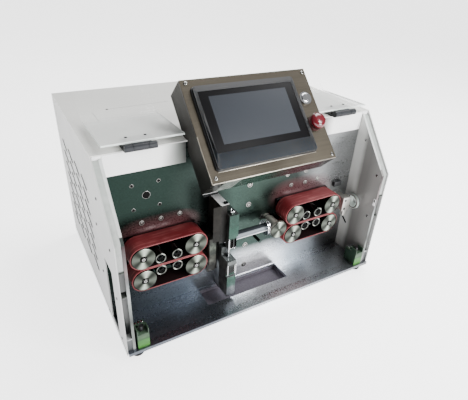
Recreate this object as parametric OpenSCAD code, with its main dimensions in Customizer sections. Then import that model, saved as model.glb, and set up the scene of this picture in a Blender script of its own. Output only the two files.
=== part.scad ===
// Benchtop wire cutting and stripping machine with sixteen feed wheels, at rest with both
// covers folded back. Millimetres, +Z up, front of the machine towards -Y. The origin is
// under the middle of the machine, on the surface that it stands on.

/* [Cabinet] */
// Width of the cabinet over both side walls
cab_w = 583; // [560:1:640]
// Depth of the roof and walls, from the wings' front edges to the rear
cab_d = 441; // [400:1:520]
// Height of the roof over the underside of the base
cab_h = 351; // [340:1:380]
// Height at which each wing's front edge bends back into the slope
wing_h = 239; // [225:1:250]
// Depth of the open work bay, from the wings' front edges to the fascia
bay_d = 90; // [86:1:100]
// Thickness of the folded wall and roof sheet
sheet_t = 2; // [1.5:0.1:2.5]
// Height of the white fascia under the roof's front edge
fascia_h = 40; // [34:1:46]
// Thickness of the polished base
base_t = 7; // [5:0.5:9]
// How far the base stands out in front of the wings
base_lip = 5; // [4:0.5:8]
// Height of each rubber foot
foot_h = 14; // [8:0.5:20]
// Radius of each rubber foot at the top
foot_r = 15; // [11:0.5:18]

/* [Wings] */
// Hollow between a side wall and its clear inner panel
wing_gap = 10; // [8:0.5:12]
// Thickness of the clear inner panel
panel_t = 5; // [4:0.5:6]
// Depth of the window in the left side wall
window_d = 46; // [36:1:50]
// Height of the window in the left side wall
window_h = 144; // [120:1:160]
// Columns of louvres in each side wall
louvre_cols = 4; // [2:1:5]
// Louvres in each column
louvre_rows = 8; // [5:1:10]
// Length of one louvre
louvre_len = 38; // [24:1:44]

/* [Work bay] */
// Thickness of the polished mounting plate
plate_t = 8; // [6:0.5:12]
// Width of the scrap opening in the base
scrap_w = 196; // [150:1:210]
// Depth of the scrap opening in the base
scrap_d = 51; // [40:1:56]
// Height of the wire's path over the underside of the base
wire_z = 144.5; // [140:0.5:150]
// Distance of the wire's path in front of the fascia
wire_in = 28; // [26:0.5:30]

/* [Belt feeds] */
// Left feed unit's middle, as a share of the bay's inner width from its left
left_feed_share = 0.1603; // [0.155:0.0001:0.165]
// Right feed unit's middle, as a share of the bay's inner width from its left
right_feed_share = 0.7505; // [0.745:0.0001:0.76]
// Distance between the two end pulleys of one unit, as a share of that width
span_share = 0.18033; // [0.17:0.00001:0.185]
// Radius of the end pulleys, as a share of the distance between them
wheel_share = 0.21717; // [0.19:0.00001:0.222]
// Radius of the small idler wheels, as a share of the end pulleys'
idler_share = 0.48837; // [0.42:0.00001:0.5]
// Distance between the two idlers of one unit, as a share of that between the pulleys
idler_span_share = 0.31313; // [0.28:0.00001:0.33]
// Thickness of a feed belt
belt_t = 2.2; // [1.6:0.1:2.6]
// Width of a feed belt
belt_w = 38; // [34:0.5:39]
// Radius of the wheels' shafts
shaft_r = 5; // [4:0.25:6]
// How far the upper unit lifts to let the wire in
feed_lift = 8; // [5:0.5:10]

/* [Blade head] */
// Height of the guide column's top over the underside of the base
column_top = 239; // [230:1:245]
// Thickness of the guide column from left to right
column_t = 15; // [12:0.5:16]
// Width of the two tool blocks from left to right
tool_w = 20; // [16:0.5:22]
// Depth of the two tool blocks
tool_d = 44; // [38:0.5:46]
// Thickness of one blade
blade_t = 1.2; // [0.8:0.1:1.6]
// Travel of each blade towards the wire
blade_travel = 9; // [6:0.5:11]
// Radius of the conduit tube
tube_r = 8.5; // [7:0.25:9.5]
// Radius of the conduit tube's bore
tube_bore_r = 5.5; // [4:0.25:6]
// Clearance between the tool blocks and the conduit tube
tube_clear = 8.2; // [4:0.1:16]
// Place of the guide column across the bay, as a share of its inner width
head_share = 0.35337; // [0.35:0.00001:0.36]
// Place of the conduit's hub across the bay, as a share of its inner width
hub_share = 0.58743; // [0.58:0.00001:0.6]

/* [Console] */
// Width of the console
con_w = 255; // [250:1:270]
// Height of the console's front plate along its slope
con_h = 183; // [180:1:200]
// Depth of the console box, square to its front plate
con_d = 52; // [40:1:60]
// Lean of the front plate back from upright, in degrees
con_lean = 44; // [40:1:50]
// Thickness of the front plate
con_plate_t = 3; // [2:0.5:4]
// Width of the display's bezel
hmi_w = 200.4; // [196:0.1:206]
// Height of the display's bezel
hmi_h = 146.5; // [140:0.1:150]
// How far the bezel stands off the front plate
hmi_t = 7; // [5:0.5:9]
// Radius of the start button's cap
button_r = 9; // [7:0.25:10]
// Radius of the emergency stop's head
stop_r = 15; // [13:0.5:17]

/* [Covers] */
// Thickness of the clear covers
cover_t = 3; // [2.5:0.5:4]
// Length of a cover's first panel, down the slope when closed
cover_slope_len = 136; // [130:1:142]
// Length of a cover's second panel, past the bend
cover_drop_len = 56; // [40:1:120]
// Radius of a hinge's barrel
barrel_r = 6; // [5:0.25:7]
// Length of a hinge
hinge_len = 53; // [40:1:60]

/* [Hidden] */
$fn = 64;

// One overrun for every cut, one standing clearance and one running clearance
over = 1;
gap = 0.3;
run = 0.05;

// Rear guard's reach decides the middle of the whole machine
guard_t = 3;
mid_y = (cab_d + guard_t - base_lip) / 2;

// Planes of the bay
wall_x = cab_w / 2;
wall_in = wall_x - sheet_t;
panel_x = wall_in - wing_gap;
inner_x = panel_x - panel_t;
roof_in = cab_h - sheet_t;
fascia_t = 1.5;
plate_y = bay_d + fascia_t;
wire_y = bay_d - wire_in;

// Slope of the wings, its fall to the front and its outward normal
slope_len = norm([bay_d, cab_h - wing_h]);
slope_y = bay_d / slope_len;
slope_z = (cab_h - wing_h) / slope_len;

// Window of the left side wall
window_y = 43;
window_z = 16;
window_r = 3;

// Louvres: pitch, slant and place of the first one
louvre_pitch = 26;
louvre_slot = 4;
louvre_slant = 24;
louvre_hood = 1.5;
louvre_in = 75;
louvre_z0 = 68;
louvre_col_pitch = 60;

// Holes of the mounting plate round each feed: a motor's square of screws and its shaft
motor_pitch = 47.14;
motor_hole_r = 2.6;
motor_shaft_r = 5;
motor_dx = -22;
motor_z = 262;

// Feed units: their places and wheels follow the bay's inner width
bay_w = 2 * inner_x;
pulley_span = bay_w * span_share;
pulley_r = pulley_span * wheel_share;
idler_r = pulley_r * idler_share;
idler_span = pulley_span * idler_span_share;
belt_nip = 0.4;
belt_slack = 0.25;
loop_r = pulley_r + belt_slack;
belt_out_r = loop_r + belt_t;
feed_axis_dz = belt_out_r + belt_nip / 2;
belt_y0 = wire_y - belt_w / 2;
belt_y1 = wire_y + belt_w / 2;
pulley_y0 = belt_y0 - 2;
pulley_y1 = belt_y1;
pulley_flange = 1.6;
idler_y0 = pulley_y0 + 3;
idler_shift = -2;
idler_dz = belt_nip / 2 + belt_t + belt_slack + idler_r;
carriage_t = 6.5;
carriage_y0 = plate_y - gap - carriage_t;
carriage_edge = 3;
carriage_inset = 3;
shaft_head_r = 3.4;
shaft_head = 1;

// Blade head
head_x = -inner_x + bay_w * head_share;
column_x1 = head_x + column_t / 2;
tool_x0 = column_x1 + gap;
column_y0 = 45.5;
column_y1 = plate_y;
column_over = 5.5;
rail_z0 = 14;
tool_y0 = 35;
upper_z0 = 164;
upper_z1 = 214;
lower_z0 = 17;
lower_z1 = 106;
blade_open = 8;
blade_d = 26;
blade_h = 34;
rail_t = 3;
rail_y = 70;

// Conduit tube, its hub and post
hub_x = -inner_x + bay_w * hub_share;
hub_clear = 3.8;
hub_disc_r = norm([feed_x(1) - pulley_span / 2 - hub_x, feed_axis_dz]) - belt_out_r - hub_clear;
hub_body_share = 0.684;
hub_r = hub_disc_r * hub_body_share;
hub_disc_t = 5;
hub_y0 = 41;
hub_y1 = 78;
post_r = 6;
flange_r = 15.5;
flange_t = 4;
hub_neck = 1.5;
tube_x1 = hub_x - hub_r - hub_neck;
tube_len = tube_x1 - tool_x0 - tool_w - tube_clear;
peg_in = 25;
stop_peg_x = hub_x - peg_in;
stop_peg_z = 105;
stop_peg_r = 3.5;
stop_peg_len = 24;

// Console: lower left front corner of its front plate, in the machine's own frame
con_mid_x = -3;
con_x0 = con_mid_x - con_w / 2;
con_y0 = -4.5;
con_drop = 39.4;
con_z0 = cab_h - con_drop;
con_wall = 2;
hmi_u = 16;
hmi_v = 20;
hmi_r = 6;
hmi_frame = 22;
screen_w = 154.1;
screen_h = 85.9;
screen_v = 40;
screen_t = 1;
control_in = 22;
control_u = con_w - control_in;
button_v = 122;
stop_v = 71;
control_r = 11;
ring_r = 12.5;
ring_t = 3.5;
button_out = 2.5;
button_stem = 14;
collar_r = 14.5;
collar_t = 5;
neck_r = 8;
neck_len = 11;
head_t = 11;

// Covers and hinges
cover_side = 0.5;
cover_w = 138;
cover_back = 2;
cover_bend = 90 - atan2(cab_h - wing_h, bay_d);
cover_round = 8;
leaf_t = 2;
hinge_off = barrel_r + gap + cover_t + 0.6;
hinge_y = bay_d - slope_z * hinge_off;
hinge_z = cab_h + slope_y * hinge_off;
hinge_in = 78;
hinge_pin_r = 3;
knuckle_gap = 0.3;

// Corner switches
switch_w = 22;
switch_d = 34;
switch_h = 33;
switch_y0 = -1;
plunger_r = 4;
plunger_out = 5;

// Slides the machine's own frame (front edge at y 0, base at z 0) onto its feet
module placed() translate([0, -mid_y, foot_h]) children();

// Stands a flat outline in the side plane, from x0 and t thick
module side_plate(x0, t) {
  translate([x0, 0, 0])
    rotate([90, 0, 90])
      linear_extrude(t) children();
}

// A round bar along Y between two depths
module bar_y(x, z, y0, y1, r) {
  translate([x, y0, z])
    rotate([-90, 0, 0]) cylinder(r = r, h = y1 - y0);
}

// A round bar along X between two sides
module bar_x(y, z, x0, x1, r) {
  translate([x0, y, z])
    rotate([0, 90, 0]) cylinder(r = r, h = x1 - x0);
}

// A rectangle with round corners
module round_rect(w, h, r) {
  translate([r, 0]) square([w - 2 * r, h]);
  translate([0, r]) square([w, h - 2 * r]);
  for (x = [r, w - r], y = [r, h - r]) translate([x, y]) circle(r = r);
}

// A flat loop round two equal circles
module stadium(span, r) {
  translate([-span / 2, -r]) square([span, 2 * r]);
  for (s = [-1, 1]) translate([s * span / 2, 0]) circle(r = r);
}

// Base with its scrap opening, the pan under it and the folded front edge
pan_h = 10;
pan_wall = 1.5;
base_fold = 2;
scrap_mid_x = -12.5;
scrap_x0 = scrap_mid_x - scrap_w / 2;
module base_plate() {
  color([0.72, 0.73, 0.74]) placed() {
    difference() {
      translate([-wall_in, -base_lip, 0]) cube([2 * wall_in, cab_d + base_lip, base_t]);
      translate([-wall_in - over, -base_lip + base_fold, -over])
        cube([2 * (wall_in + over), bay_d - scrap_d - base_lip, over + base_t - base_fold]);
      translate([scrap_x0, bay_d - scrap_d, -over]) cube([scrap_w, scrap_d, base_t + 2 * over]);
    }
    difference() {
      translate([scrap_x0 - pan_wall, bay_d - scrap_d - pan_wall, -pan_h])
        cube([scrap_w + 2 * pan_wall, scrap_d + 2 * pan_wall, pan_h + over]);
      translate([scrap_x0, bay_d - scrap_d, -pan_h + pan_wall])
        cube([scrap_w, scrap_d, pan_h + 2 * over]);
    }
  }
}

// Polished plate that carries the feeds, with the drive motors' holes and the stop peg
module mounting_plate() {
  color([0.62, 0.66, 0.65]) placed()
    difference() {
      union() {
        translate([-wall_in, plate_y, base_t])
          cube([2 * wall_in, plate_t, roof_in - base_t]);
        bar_y(stop_peg_x, stop_peg_z, plate_y - stop_peg_len, plate_y + over, stop_peg_r);
      }
      for (s = [-1, 1]) translate([feed_x(s) + motor_dx, 0, motor_z]) {
        bar_y(0, 0, plate_y - over, plate_y + plate_t + over, motor_shaft_r);
        for (i = [-1, 1], k = [-1, 1])
          bar_y(i * motor_pitch / 2, k * motor_pitch / 2,
                plate_y - over, plate_y + plate_t + over, motor_hole_r);
      }
    }
}

// One wall's louvre slots, or the hoods over them
module louvres(x0, t, lift, slot) {
  for (i = [0:louvre_cols - 1], k = [0:louvre_rows - 1])
    translate([x0, bay_d + louvre_in + i * louvre_col_pitch, louvre_z0 + k * louvre_pitch + lift])
      rotate([louvre_slant, 0, 0]) cube([t, louvre_len, slot]);
}

// Side outline of the walls and of the roof between them
function wall_outline() = [
  [0, 0], [0, wing_h], [bay_d, cab_h], [cab_d, cab_h], [cab_d, 0]
];

function room_outline() = [
  [-over, -over], [-over, cab_h + over], [bay_d, cab_h + over],
  [bay_d, roof_in], [cab_d + over, roof_in], [cab_d + over, -over]
];

// Folded white sheet: both side walls with their wings, and the roof
module cabinet_shell() {
  color([0.93, 0.93, 0.92]) placed() {
    difference() {
      side_plate(-wall_x, cab_w) polygon(wall_outline());
      side_plate(-wall_in, 2 * wall_in) polygon(room_outline());
      side_plate(-wall_x - over, sheet_t + 2 * over)
        translate([window_y, window_z]) round_rect(window_d, window_h, window_r);
      bar_x(wire_y, wire_z, wall_in - over, wall_x + over, panel_hole_r);
      louvres(-wall_x - over, sheet_t + 2 * over, 0, louvre_slot);
      louvres(wall_in - over, sheet_t + 2 * over, 0, louvre_slot);
    }
    louvres(-wall_x - louvre_hood, louvre_hood, louvre_slot, sheet_t);
    louvres(wall_x, louvre_hood, louvre_slot, sheet_t);
  }
}

// Rear panel with its ringed fan guard and the recessed power inlet
fan_r = 38;
fan_x = 150;
fan_z = 250;
fan_ring = 3;
fan_rings = 4;
guard_bar_t = 2;
inlet_w = 28;
inlet_h = 47;
inlet_x = -200;
inlet_z = 60;
inlet_deep = 22;
inlet_wall = 3;
contact_t = 2;
module rear_panel() {
  color([0.9, 0.9, 0.89]) placed() {
    difference() {
      translate([-wall_in, cab_d - sheet_t, base_t])
        cube([2 * wall_in, sheet_t, roof_in - base_t]);
      bar_y(fan_x, fan_z, cab_d - sheet_t - over, cab_d + over, fan_r);
      translate([inlet_x, cab_d - sheet_t - over, inlet_z])
        cube([inlet_w, sheet_t + 2 * over, inlet_h]);
    }
    // Guard rings and the two bars that join them
    for (i = [1:fan_rings]) difference() {
      bar_y(fan_x, fan_z, cab_d, cab_d + guard_t, i * (fan_r + fan_ring) / fan_rings);
      bar_y(fan_x, fan_z, cab_d - over, cab_d + guard_t + over,
            i * (fan_r + fan_ring) / fan_rings - fan_ring);
    }
    for (a = [0, 90]) translate([fan_x, cab_d, fan_z]) rotate([0, a, 0])
      translate([-fan_r - fan_ring / 2, 0, -fan_ring / 2])
        cube([2 * fan_r + fan_ring, guard_bar_t, fan_ring]);
    // Inlet: a socket open to the rear with three contacts
    difference() {
      translate([inlet_x, cab_d - inlet_deep, inlet_z]) cube([inlet_w, inlet_deep, inlet_h]);
      translate([inlet_x + inlet_wall, cab_d - inlet_deep + inlet_wall, inlet_z + inlet_wall])
        cube([inlet_w - 2 * inlet_wall, inlet_deep, inlet_h - 2 * inlet_wall]);
    }
    for (k = [1:3])
      translate([inlet_x + (inlet_w - contact_t) / 2, cab_d - inlet_deep + over,
                 inlet_z + k * inlet_h / 4 - inlet_wall])
        cube([contact_t, inlet_deep / 2, 2 * inlet_wall]);
  }
}

// White bands under the roof's front edge, left and right of the console
fascia_end = 3;
module fascia() {
  color([0.95, 0.95, 0.95]) placed()
    for (ends = [[-inner_x + gap, con_x0 - fascia_end],
                 [con_x0 + con_w + fascia_end, inner_x - gap]])
      translate([ends[0], bay_d, cab_h - fascia_h])
        cube([ends[1] - ends[0], fascia_t, fascia_h - sheet_t]);
}

// Clear inner panel of a wing, with the wire's hole
panel_in = 2;
panel_hole_r = 12;
module inner_panel(x0) {
  difference() {
    side_plate(x0, panel_t)
      polygon([
        [panel_in, base_t], [panel_in, wing_h - panel_in],
        [bay_d, roof_in - 2 * panel_in], [plate_y, roof_in - 2 * panel_in], [plate_y, base_t]
      ]);
    bar_x(wire_y, wire_z, x0 - over, x0 + panel_t + over, panel_hole_r);
  }
}
module left_inner_panel() {
  color([0.85, 0.92, 0.9, 0.5]) placed() inner_panel(-panel_x);
}
module right_inner_panel() {
  color([0.85, 0.92, 0.9, 0.5]) placed() inner_panel(inner_x);
}

// Blocks and strips that hold each inner panel off its wall, down the front edge
spacer_t = 2;
spacer_in = 1.5;
spacer_d = 14;
spacer_z_shares = [0.142, 0.56, 0.776];
strip_in = 3;
strip_t = 2;
// Front edge moved in by d, from the height z up to the roof
function front_line(d, z) =
  let (bend_z = wing_h - d * tan(cover_bend / 2))
  [[d, z], [d, bend_z],
   [d + (cab_h - roof_gap - bend_z) * tan(cover_bend), cab_h - roof_gap]];
roof_gap = 8;
module wing_spacers() {
  color([0.9, 0.9, 0.9]) placed()
    for (x = [-wall_in, panel_x]) {
      for (s = spacer_z_shares)
        translate([x, spacer_in, s * wing_h]) cube([wing_gap, spacer_d, spacer_t]);
      side_plate(x, wing_gap) polygon(concat(
        front_line(strip_in, spacer_z_shares[2] * wing_h),
        [for (k = [2:-1:0]) front_line(strip_in + strip_t, spacer_z_shares[2] * wing_h)[k]]));
      translate([x, strip_in, base_t])
        cube([wing_gap, strip_t, spacer_z_shares[0] * wing_h - base_t + over]);
    }
}

// Four rubber feet, dished underneath; the front pair reaches up into the folded edge
foot_side = 20;
foot_front = 13;
foot_rear = 26;
foot_taper = 3;
foot_dish_r = 6;
module feet() {
  color([0.08, 0.08, 0.08]) placed()
    for (x = [-wall_in + foot_side, wall_in - foot_side],
         f = [[foot_front, base_t - base_fold], [cab_d - foot_rear, 0]])
      translate([x, f[0], -foot_h]) difference() {
        union() {
          cylinder(r1 = foot_r - foot_taper, r2 = foot_r, h = foot_h);
          translate([0, 0, foot_h - over]) cylinder(r = foot_r - foot_taper, h = f[1] + over);
        }
        translate([0, 0, -over]) cylinder(r = foot_dish_r, h = foot_h / 2 + over);
      }
}

// Puts children on the console's front plate: X across, Y up the slope, Z out of it
module on_console() {
  placed() translate([con_x0, con_y0, con_z0]) rotate([90 - con_lean, 0, 0]) children();
}

// The cabinet's top front corner, grown by g, which the console box is notched to sit on
module corner_block(g) {
  placed() translate([con_x0 - over, bay_d - g, 0])
    cube([con_w + 2 * over, cab_d, cab_h + g]);
}

// Console box: a thin-walled tray behind the front plate, with two gussets on the roof
gusset_t = 2;
gusset_up = 40;
gusset_in = 30;
gusset_foot = 16;
module console_box() {
  color([0.42, 0.43, 0.44]) {
    difference() {
      on_console() translate([0, 0, -con_d]) cube([con_w, con_h, con_d - con_plate_t]);
      difference() {
        on_console() translate([con_wall, con_wall, -con_d + con_wall])
          cube([con_w - 2 * con_wall, con_h - 2 * con_wall, con_d]);
        corner_block(gap + con_wall);
      }
      corner_block(gap);
    }
    placed() for (x = [con_x0 + gusset_in, con_x0 + con_w - gusset_in - gusset_t]) {
      side_plate(x, gusset_t) polygon([
        [rear_y(cab_h + gap), cab_h + gap],
        [rear_y(cab_h + gap + gusset_up), cab_h + gap + gusset_up],
        [rear_y(cab_h + gap + gusset_up), cab_h + gap]
      ]);
      translate([x - gusset_foot / 2, rear_y(cab_h + gap + gusset_t), cab_h + gap])
        cube([gusset_foot, gusset_up - gusset_t - gusset_t, gusset_t]);
    }
  }
}

// Depth of the console box's rear face at a height
function rear_y(z) = con_y0 + con_d * cos(con_lean)
  + (z - con_z0 + con_d * sin(con_lean)) * tan(con_lean);

// Brushed front plate with the cut-outs for the display and the two controls
module console_plate() {
  color([0.62, 0.59, 0.54]) on_console()
    difference() {
      translate([0, 0, -con_plate_t]) cube([con_w, con_h, con_plate_t]);
      translate([hmi_u + hmi_back, hmi_v + hmi_back, -con_plate_t - over])
        cube([hmi_w - 2 * hmi_back, hmi_h - 2 * hmi_back, con_plate_t + 2 * over]);
      for (v = [button_v, stop_v])
        translate([control_u, v, -con_plate_t - over])
          cylinder(r = control_r, h = con_plate_t + 2 * over);
    }
}

// Display housing: bezel in front of the plate and its body behind
hmi_back = 5;
hmi_deep = 30;
glass_w = 187.5;
glass_h = 109;
glass_u = (hmi_w - glass_w) / 2;
glass_v = 27;
glass_t = 1;
module hmi_bezel() {
  color([0.36, 0.41, 0.49]) on_console() translate([hmi_u, hmi_v, 0])
    difference() {
      union() {
        linear_extrude(hmi_t) round_rect(hmi_w, hmi_h, hmi_r);
        translate([hmi_back + gap, hmi_back + gap, -hmi_deep])
          cube([hmi_w - 2 * (hmi_back + gap), hmi_h - 2 * (hmi_back + gap), hmi_deep]);
      }
      translate([glass_u, glass_v, hmi_t - glass_t]) cube([glass_w, glass_h, glass_t + over]);
    }
}
module hmi_screen() {
  color([0.2, 0.21, 0.26]) on_console()
    translate([hmi_u + glass_u, hmi_v + glass_v, hmi_t - glass_t])
      cube([glass_w, glass_h, glass_t]);
}

// Ring of the start button, with the sleeve that holds it in the plate
sleeve_len = 18;
sleeve_floor = 2;
module button_ring() {
  color([0.85, 0.85, 0.86]) on_console() translate([control_u, button_v, 0])
    difference() {
      union() {
        cylinder(r = ring_r, h = ring_t);
        translate([0, 0, -sleeve_len]) cylinder(r = control_r - gap, h = sleeve_len);
      }
      translate([0, 0, -sleeve_len + sleeve_floor])
        cylinder(r = button_r + run, h = sleeve_len + ring_t + over);
    }
}
module start_button() {
  color([0.8, 0.8, 0.82]) on_console()
    translate([control_u, button_v, -button_stem + button_out + ring_t])
      cylinder(r = button_r, h = button_stem);
}

// Collar and sleeve of the emergency stop
module estop_collar() {
  color([0.15, 0.15, 0.16]) on_console() translate([control_u, stop_v, 0])
    difference() {
      union() {
        cylinder(r = collar_r, h = collar_t);
        translate([0, 0, -sleeve_len]) cylinder(r = control_r - gap, h = sleeve_len);
      }
      translate([0, 0, -sleeve_len + sleeve_floor])
        cylinder(r = neck_r + run, h = sleeve_len + collar_t + over);
    }
}

// Mushroom head on its neck, turned from one outline
head_edge = 3;
module estop_mushroom() {
  color([0.75, 0.06, 0.16]) on_console() translate([control_u, stop_v, 0])
    rotate_extrude() polygon(concat(
      [[0, -sleeve_len / 2], [neck_r, -sleeve_len / 2], [neck_r, neck_len],
       [stop_r - head_edge, neck_len], [stop_r, neck_len + head_edge]],
      [for (a = [15:15:90])
        [stop_r * cos(a), neck_len + head_edge + (head_t - head_edge) * sin(a)]]
    ));
}

// Section of a cover folded back: the slope panel, its bend and the drop panel
cover_start = 4.5;
bend_steps = 6;
function bend_arc(r, a0, a1) = [for (k = [0:bend_steps]) let (a = a0 + (a1 - a0) * k / bend_steps)
  [cover_slope_len + r * sin(a), barrel_r + gap + cover_t + cover_round - r * cos(a)]];
module cover_section() {
  polygon(concat(
    [[cover_start, barrel_r + gap]],
    bend_arc(cover_round + cover_t, 0, cover_bend),
    [let (p = bend_arc(cover_round + cover_t, 0, cover_bend)[bend_steps])
      [p[0] + cover_drop_len * cos(cover_bend), p[1] + cover_drop_len * sin(cover_bend)]],
    [let (p = bend_arc(cover_round, 0, cover_bend)[bend_steps])
      [p[0] + cover_drop_len * cos(cover_bend), p[1] + cover_drop_len * sin(cover_bend)]],
    bend_arc(cover_round, cover_bend, 0),
    [[cover_start, barrel_r + gap + cover_t]]
  ));
}

// Puts a section on the hinge's axis, leaned back by the open stop
module on_hinge() {
  translate([hinge_y, hinge_z]) rotate(-cover_back) children();
}
module cover(x0) {
  side_plate(x0, cover_w) on_hinge() cover_section();
}
module left_cover() {
  color([0.88, 0.93, 0.92, 0.4]) placed() cover(-inner_x + cover_side);
}
module right_cover() {
  color([0.88, 0.93, 0.92, 0.4]) placed() cover(inner_x - cover_side - cover_w);
}

// Moving leaf: a middle knuckle, its arm and the strip under the cover
leaf_len = 34;
leaf_clear = 8;
module cover_leaf(x) {
  difference() {
    union() {
      side_plate(x - hinge_len / 2, hinge_len) on_hinge()
        translate([leaf_clear, barrel_r + gap - leaf_t]) square([leaf_len - leaf_clear, leaf_t]);
      side_plate(x - hinge_len / 4 + knuckle_gap, hinge_len / 2 - 2 * knuckle_gap)
        on_hinge() translate([0, barrel_r + gap - leaf_t]) square([leaf_clear + over, leaf_t]);
      bar_x(hinge_y, hinge_z, x - hinge_len / 4 + knuckle_gap, x + hinge_len / 4 - knuckle_gap,
            barrel_r);
    }
    bar_x(hinge_y, hinge_z, x - hinge_len / 2, x + hinge_len / 2, hinge_pin_r + run);
  }
}
module left_cover_leaf() {
  color([0.75, 0.77, 0.78]) placed() cover_leaf(-wall_x + hinge_in);
}
module right_cover_leaf() {
  color([0.75, 0.77, 0.78]) placed() cover_leaf(wall_x - hinge_in);
}

// Fixed leaf: two end knuckles with the pin through them, and the strip on the roof
module roof_leaf(x) {
  top = hinge_z - barrel_r + leaf_t;
  translate([x - hinge_len / 2, hinge_y + leaf_clear, cab_h])
    cube([hinge_len, leaf_len - leaf_clear, top - cab_h]);
  for (x0 = [x - hinge_len / 2, x + hinge_len / 4]) {
    bar_x(hinge_y, hinge_z, x0, x0 + hinge_len / 4, barrel_r);
    translate([x0, hinge_y, hinge_z - barrel_r])
      cube([hinge_len / 4, leaf_clear + over, leaf_t]);
  }
  bar_x(hinge_y, hinge_z, x - hinge_len / 2, x + hinge_len / 2, hinge_pin_r);
}
module left_roof_leaf() {
  color([0.26, 0.29, 0.34]) placed() roof_leaf(-wall_x + hinge_in);
}
module right_roof_leaf() {
  color([0.26, 0.29, 0.34]) placed() roof_leaf(wall_x - hinge_in);
}

// Middle of the left (-1) or right (1) feed unit
function feed_x(s) = -inner_x + bay_w * (s < 0 ? left_feed_share : right_feed_share);

// Plate behind one belt with the four shafts of its wheels; up is 1 above the wire
module carriage(s, up) {
  h = feed_axis_dz + pulley_r - carriage_inset - carriage_edge;
  x = feed_x(s);
  translate([x, 0, wire_z]) scale([1, 1, up]) {
    translate([-pulley_span / 2 - pulley_r + carriage_inset, carriage_y0, carriage_edge])
      cube([pulley_span + 2 * (pulley_r - carriage_inset), carriage_t, h]);
    for (k = [-1, 1]) {
      bar_y(k * pulley_span / 2, feed_axis_dz, pulley_y0 - shaft_head, carriage_y0 + over,
            shaft_r);
      bar_y(idler_shift + k * idler_span / 2, idler_dz, idler_y0 - shaft_head + idler_dish,
            carriage_y0 + over, shaft_r);
    }
  }
}
idler_dish = 3;
module left_upper_carriage() {
  color([0.13, 0.14, 0.14]) placed() carriage(-1, 1);
}
module left_lower_block() {
  color([0.13, 0.14, 0.14]) placed() mirror_wire() carriage(-1, 1);
}
module right_upper_carriage() {
  color([0.13, 0.14, 0.14]) placed() carriage(1, 1);
}
module right_lower_block() {
  color([0.13, 0.14, 0.14]) placed() mirror_wire() carriage(1, 1);
}

// Turns a piece over, about the height of the wire
module mirror_wire() {
  translate([0, 0, wire_z]) mirror([0, 0, 1]) translate([0, 0, -wire_z]) children();
}

// Belt round the two end pulleys
module belt(s) {
  translate([feed_x(s), belt_y1, wire_z + feed_axis_dz]) rotate([90, 0, 0])
    linear_extrude(belt_w) difference() {
      stadium(pulley_span, belt_out_r);
      stadium(pulley_span, loop_r);
    }
}
module left_upper_belt() {
  color([0.62, 0.11, 0.16]) placed() belt(-1);
}
module left_lower_belt() {
  color([0.62, 0.11, 0.16]) placed() mirror_wire() belt(-1);
}
module right_upper_belt() {
  color([0.62, 0.11, 0.16]) placed() belt(1);
}
module right_lower_belt() {
  color([0.62, 0.11, 0.16]) placed() mirror_wire() belt(1);
}

// End pulley: turned face with a bevel, a shallow dish at the shaft and a belt track
face_bevel = 1;
face_dish_r = 9;
face_dish = 0.6;
track_deep = 0.4;
track_in = 1;
module pulley(x, dz) {
  translate([x, pulley_y0, wire_z + dz]) rotate([-90, 0, 0])
    rotate_extrude() polygon([
      [shaft_r + run, face_dish], [face_dish_r, face_dish], [face_dish_r + face_dish, 0],
      [pulley_r - face_bevel, 0], [pulley_r, face_bevel],
      [pulley_r, belt_y0 - pulley_y0 + track_in],
      [pulley_r - track_deep, belt_y0 - pulley_y0 + 2 * track_in],
      [pulley_r - track_deep, pulley_y1 - pulley_y0 - 2 * track_in],
      [pulley_r, pulley_y1 - pulley_y0 - track_in], [pulley_r, pulley_y1 - pulley_y0],
      [shaft_r + run, pulley_y1 - pulley_y0]
    ]);
}

// Idler wheel: a ring bearing with a recessed face
idler_rim = 2.2;
idler_hub = 1.6;
module idler(x, dz) {
  translate([x, idler_y0, wire_z + dz]) rotate([-90, 0, 0])
    rotate_extrude() polygon([
      [shaft_r + run, idler_dish], [idler_r - idler_rim, idler_dish],
      [idler_r - idler_rim, face_dish], [idler_r - face_dish, 0], [idler_r, face_dish],
      [idler_r, pulley_y1 - idler_y0], [shaft_r + run, pulley_y1 - idler_y0]
    ]);
}

// Wheels of one unit: k is -1 for the left one of a pair and 1 for the right one
module end_wheel(s, k, up) {
  color([0.78, 0.79, 0.8]) placed() pulley(feed_x(s) + k * pulley_span / 2, up * feed_axis_dz);
}
module idler_wheel(s, k, up) {
  color([0.6, 0.61, 0.62]) placed()
    idler(feed_x(s) + idler_shift + k * idler_span / 2, up * idler_dz);
}
module left_upper_pulley_a() end_wheel(-1, -1, 1);
module left_upper_pulley_b() end_wheel(-1, 1, 1);
module left_upper_idler_a() idler_wheel(-1, -1, 1);
module left_upper_idler_b() idler_wheel(-1, 1, 1);
module left_lower_pulley_a() end_wheel(-1, -1, -1);
module left_lower_pulley_b() end_wheel(-1, 1, -1);
module left_lower_idler_a() idler_wheel(-1, -1, -1);
module left_lower_idler_b() idler_wheel(-1, 1, -1);
module right_upper_pulley_a() end_wheel(1, -1, 1);
module right_upper_pulley_b() end_wheel(1, 1, 1);
module right_upper_idler_a() idler_wheel(1, -1, 1);
module right_upper_idler_b() idler_wheel(1, 1, 1);
module right_lower_pulley_a() end_wheel(1, -1, -1);
module right_lower_pulley_b() end_wheel(1, 1, -1);
module right_lower_idler_a() idler_wheel(1, -1, -1);
module right_lower_idler_b() idler_wheel(1, 1, -1);

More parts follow.
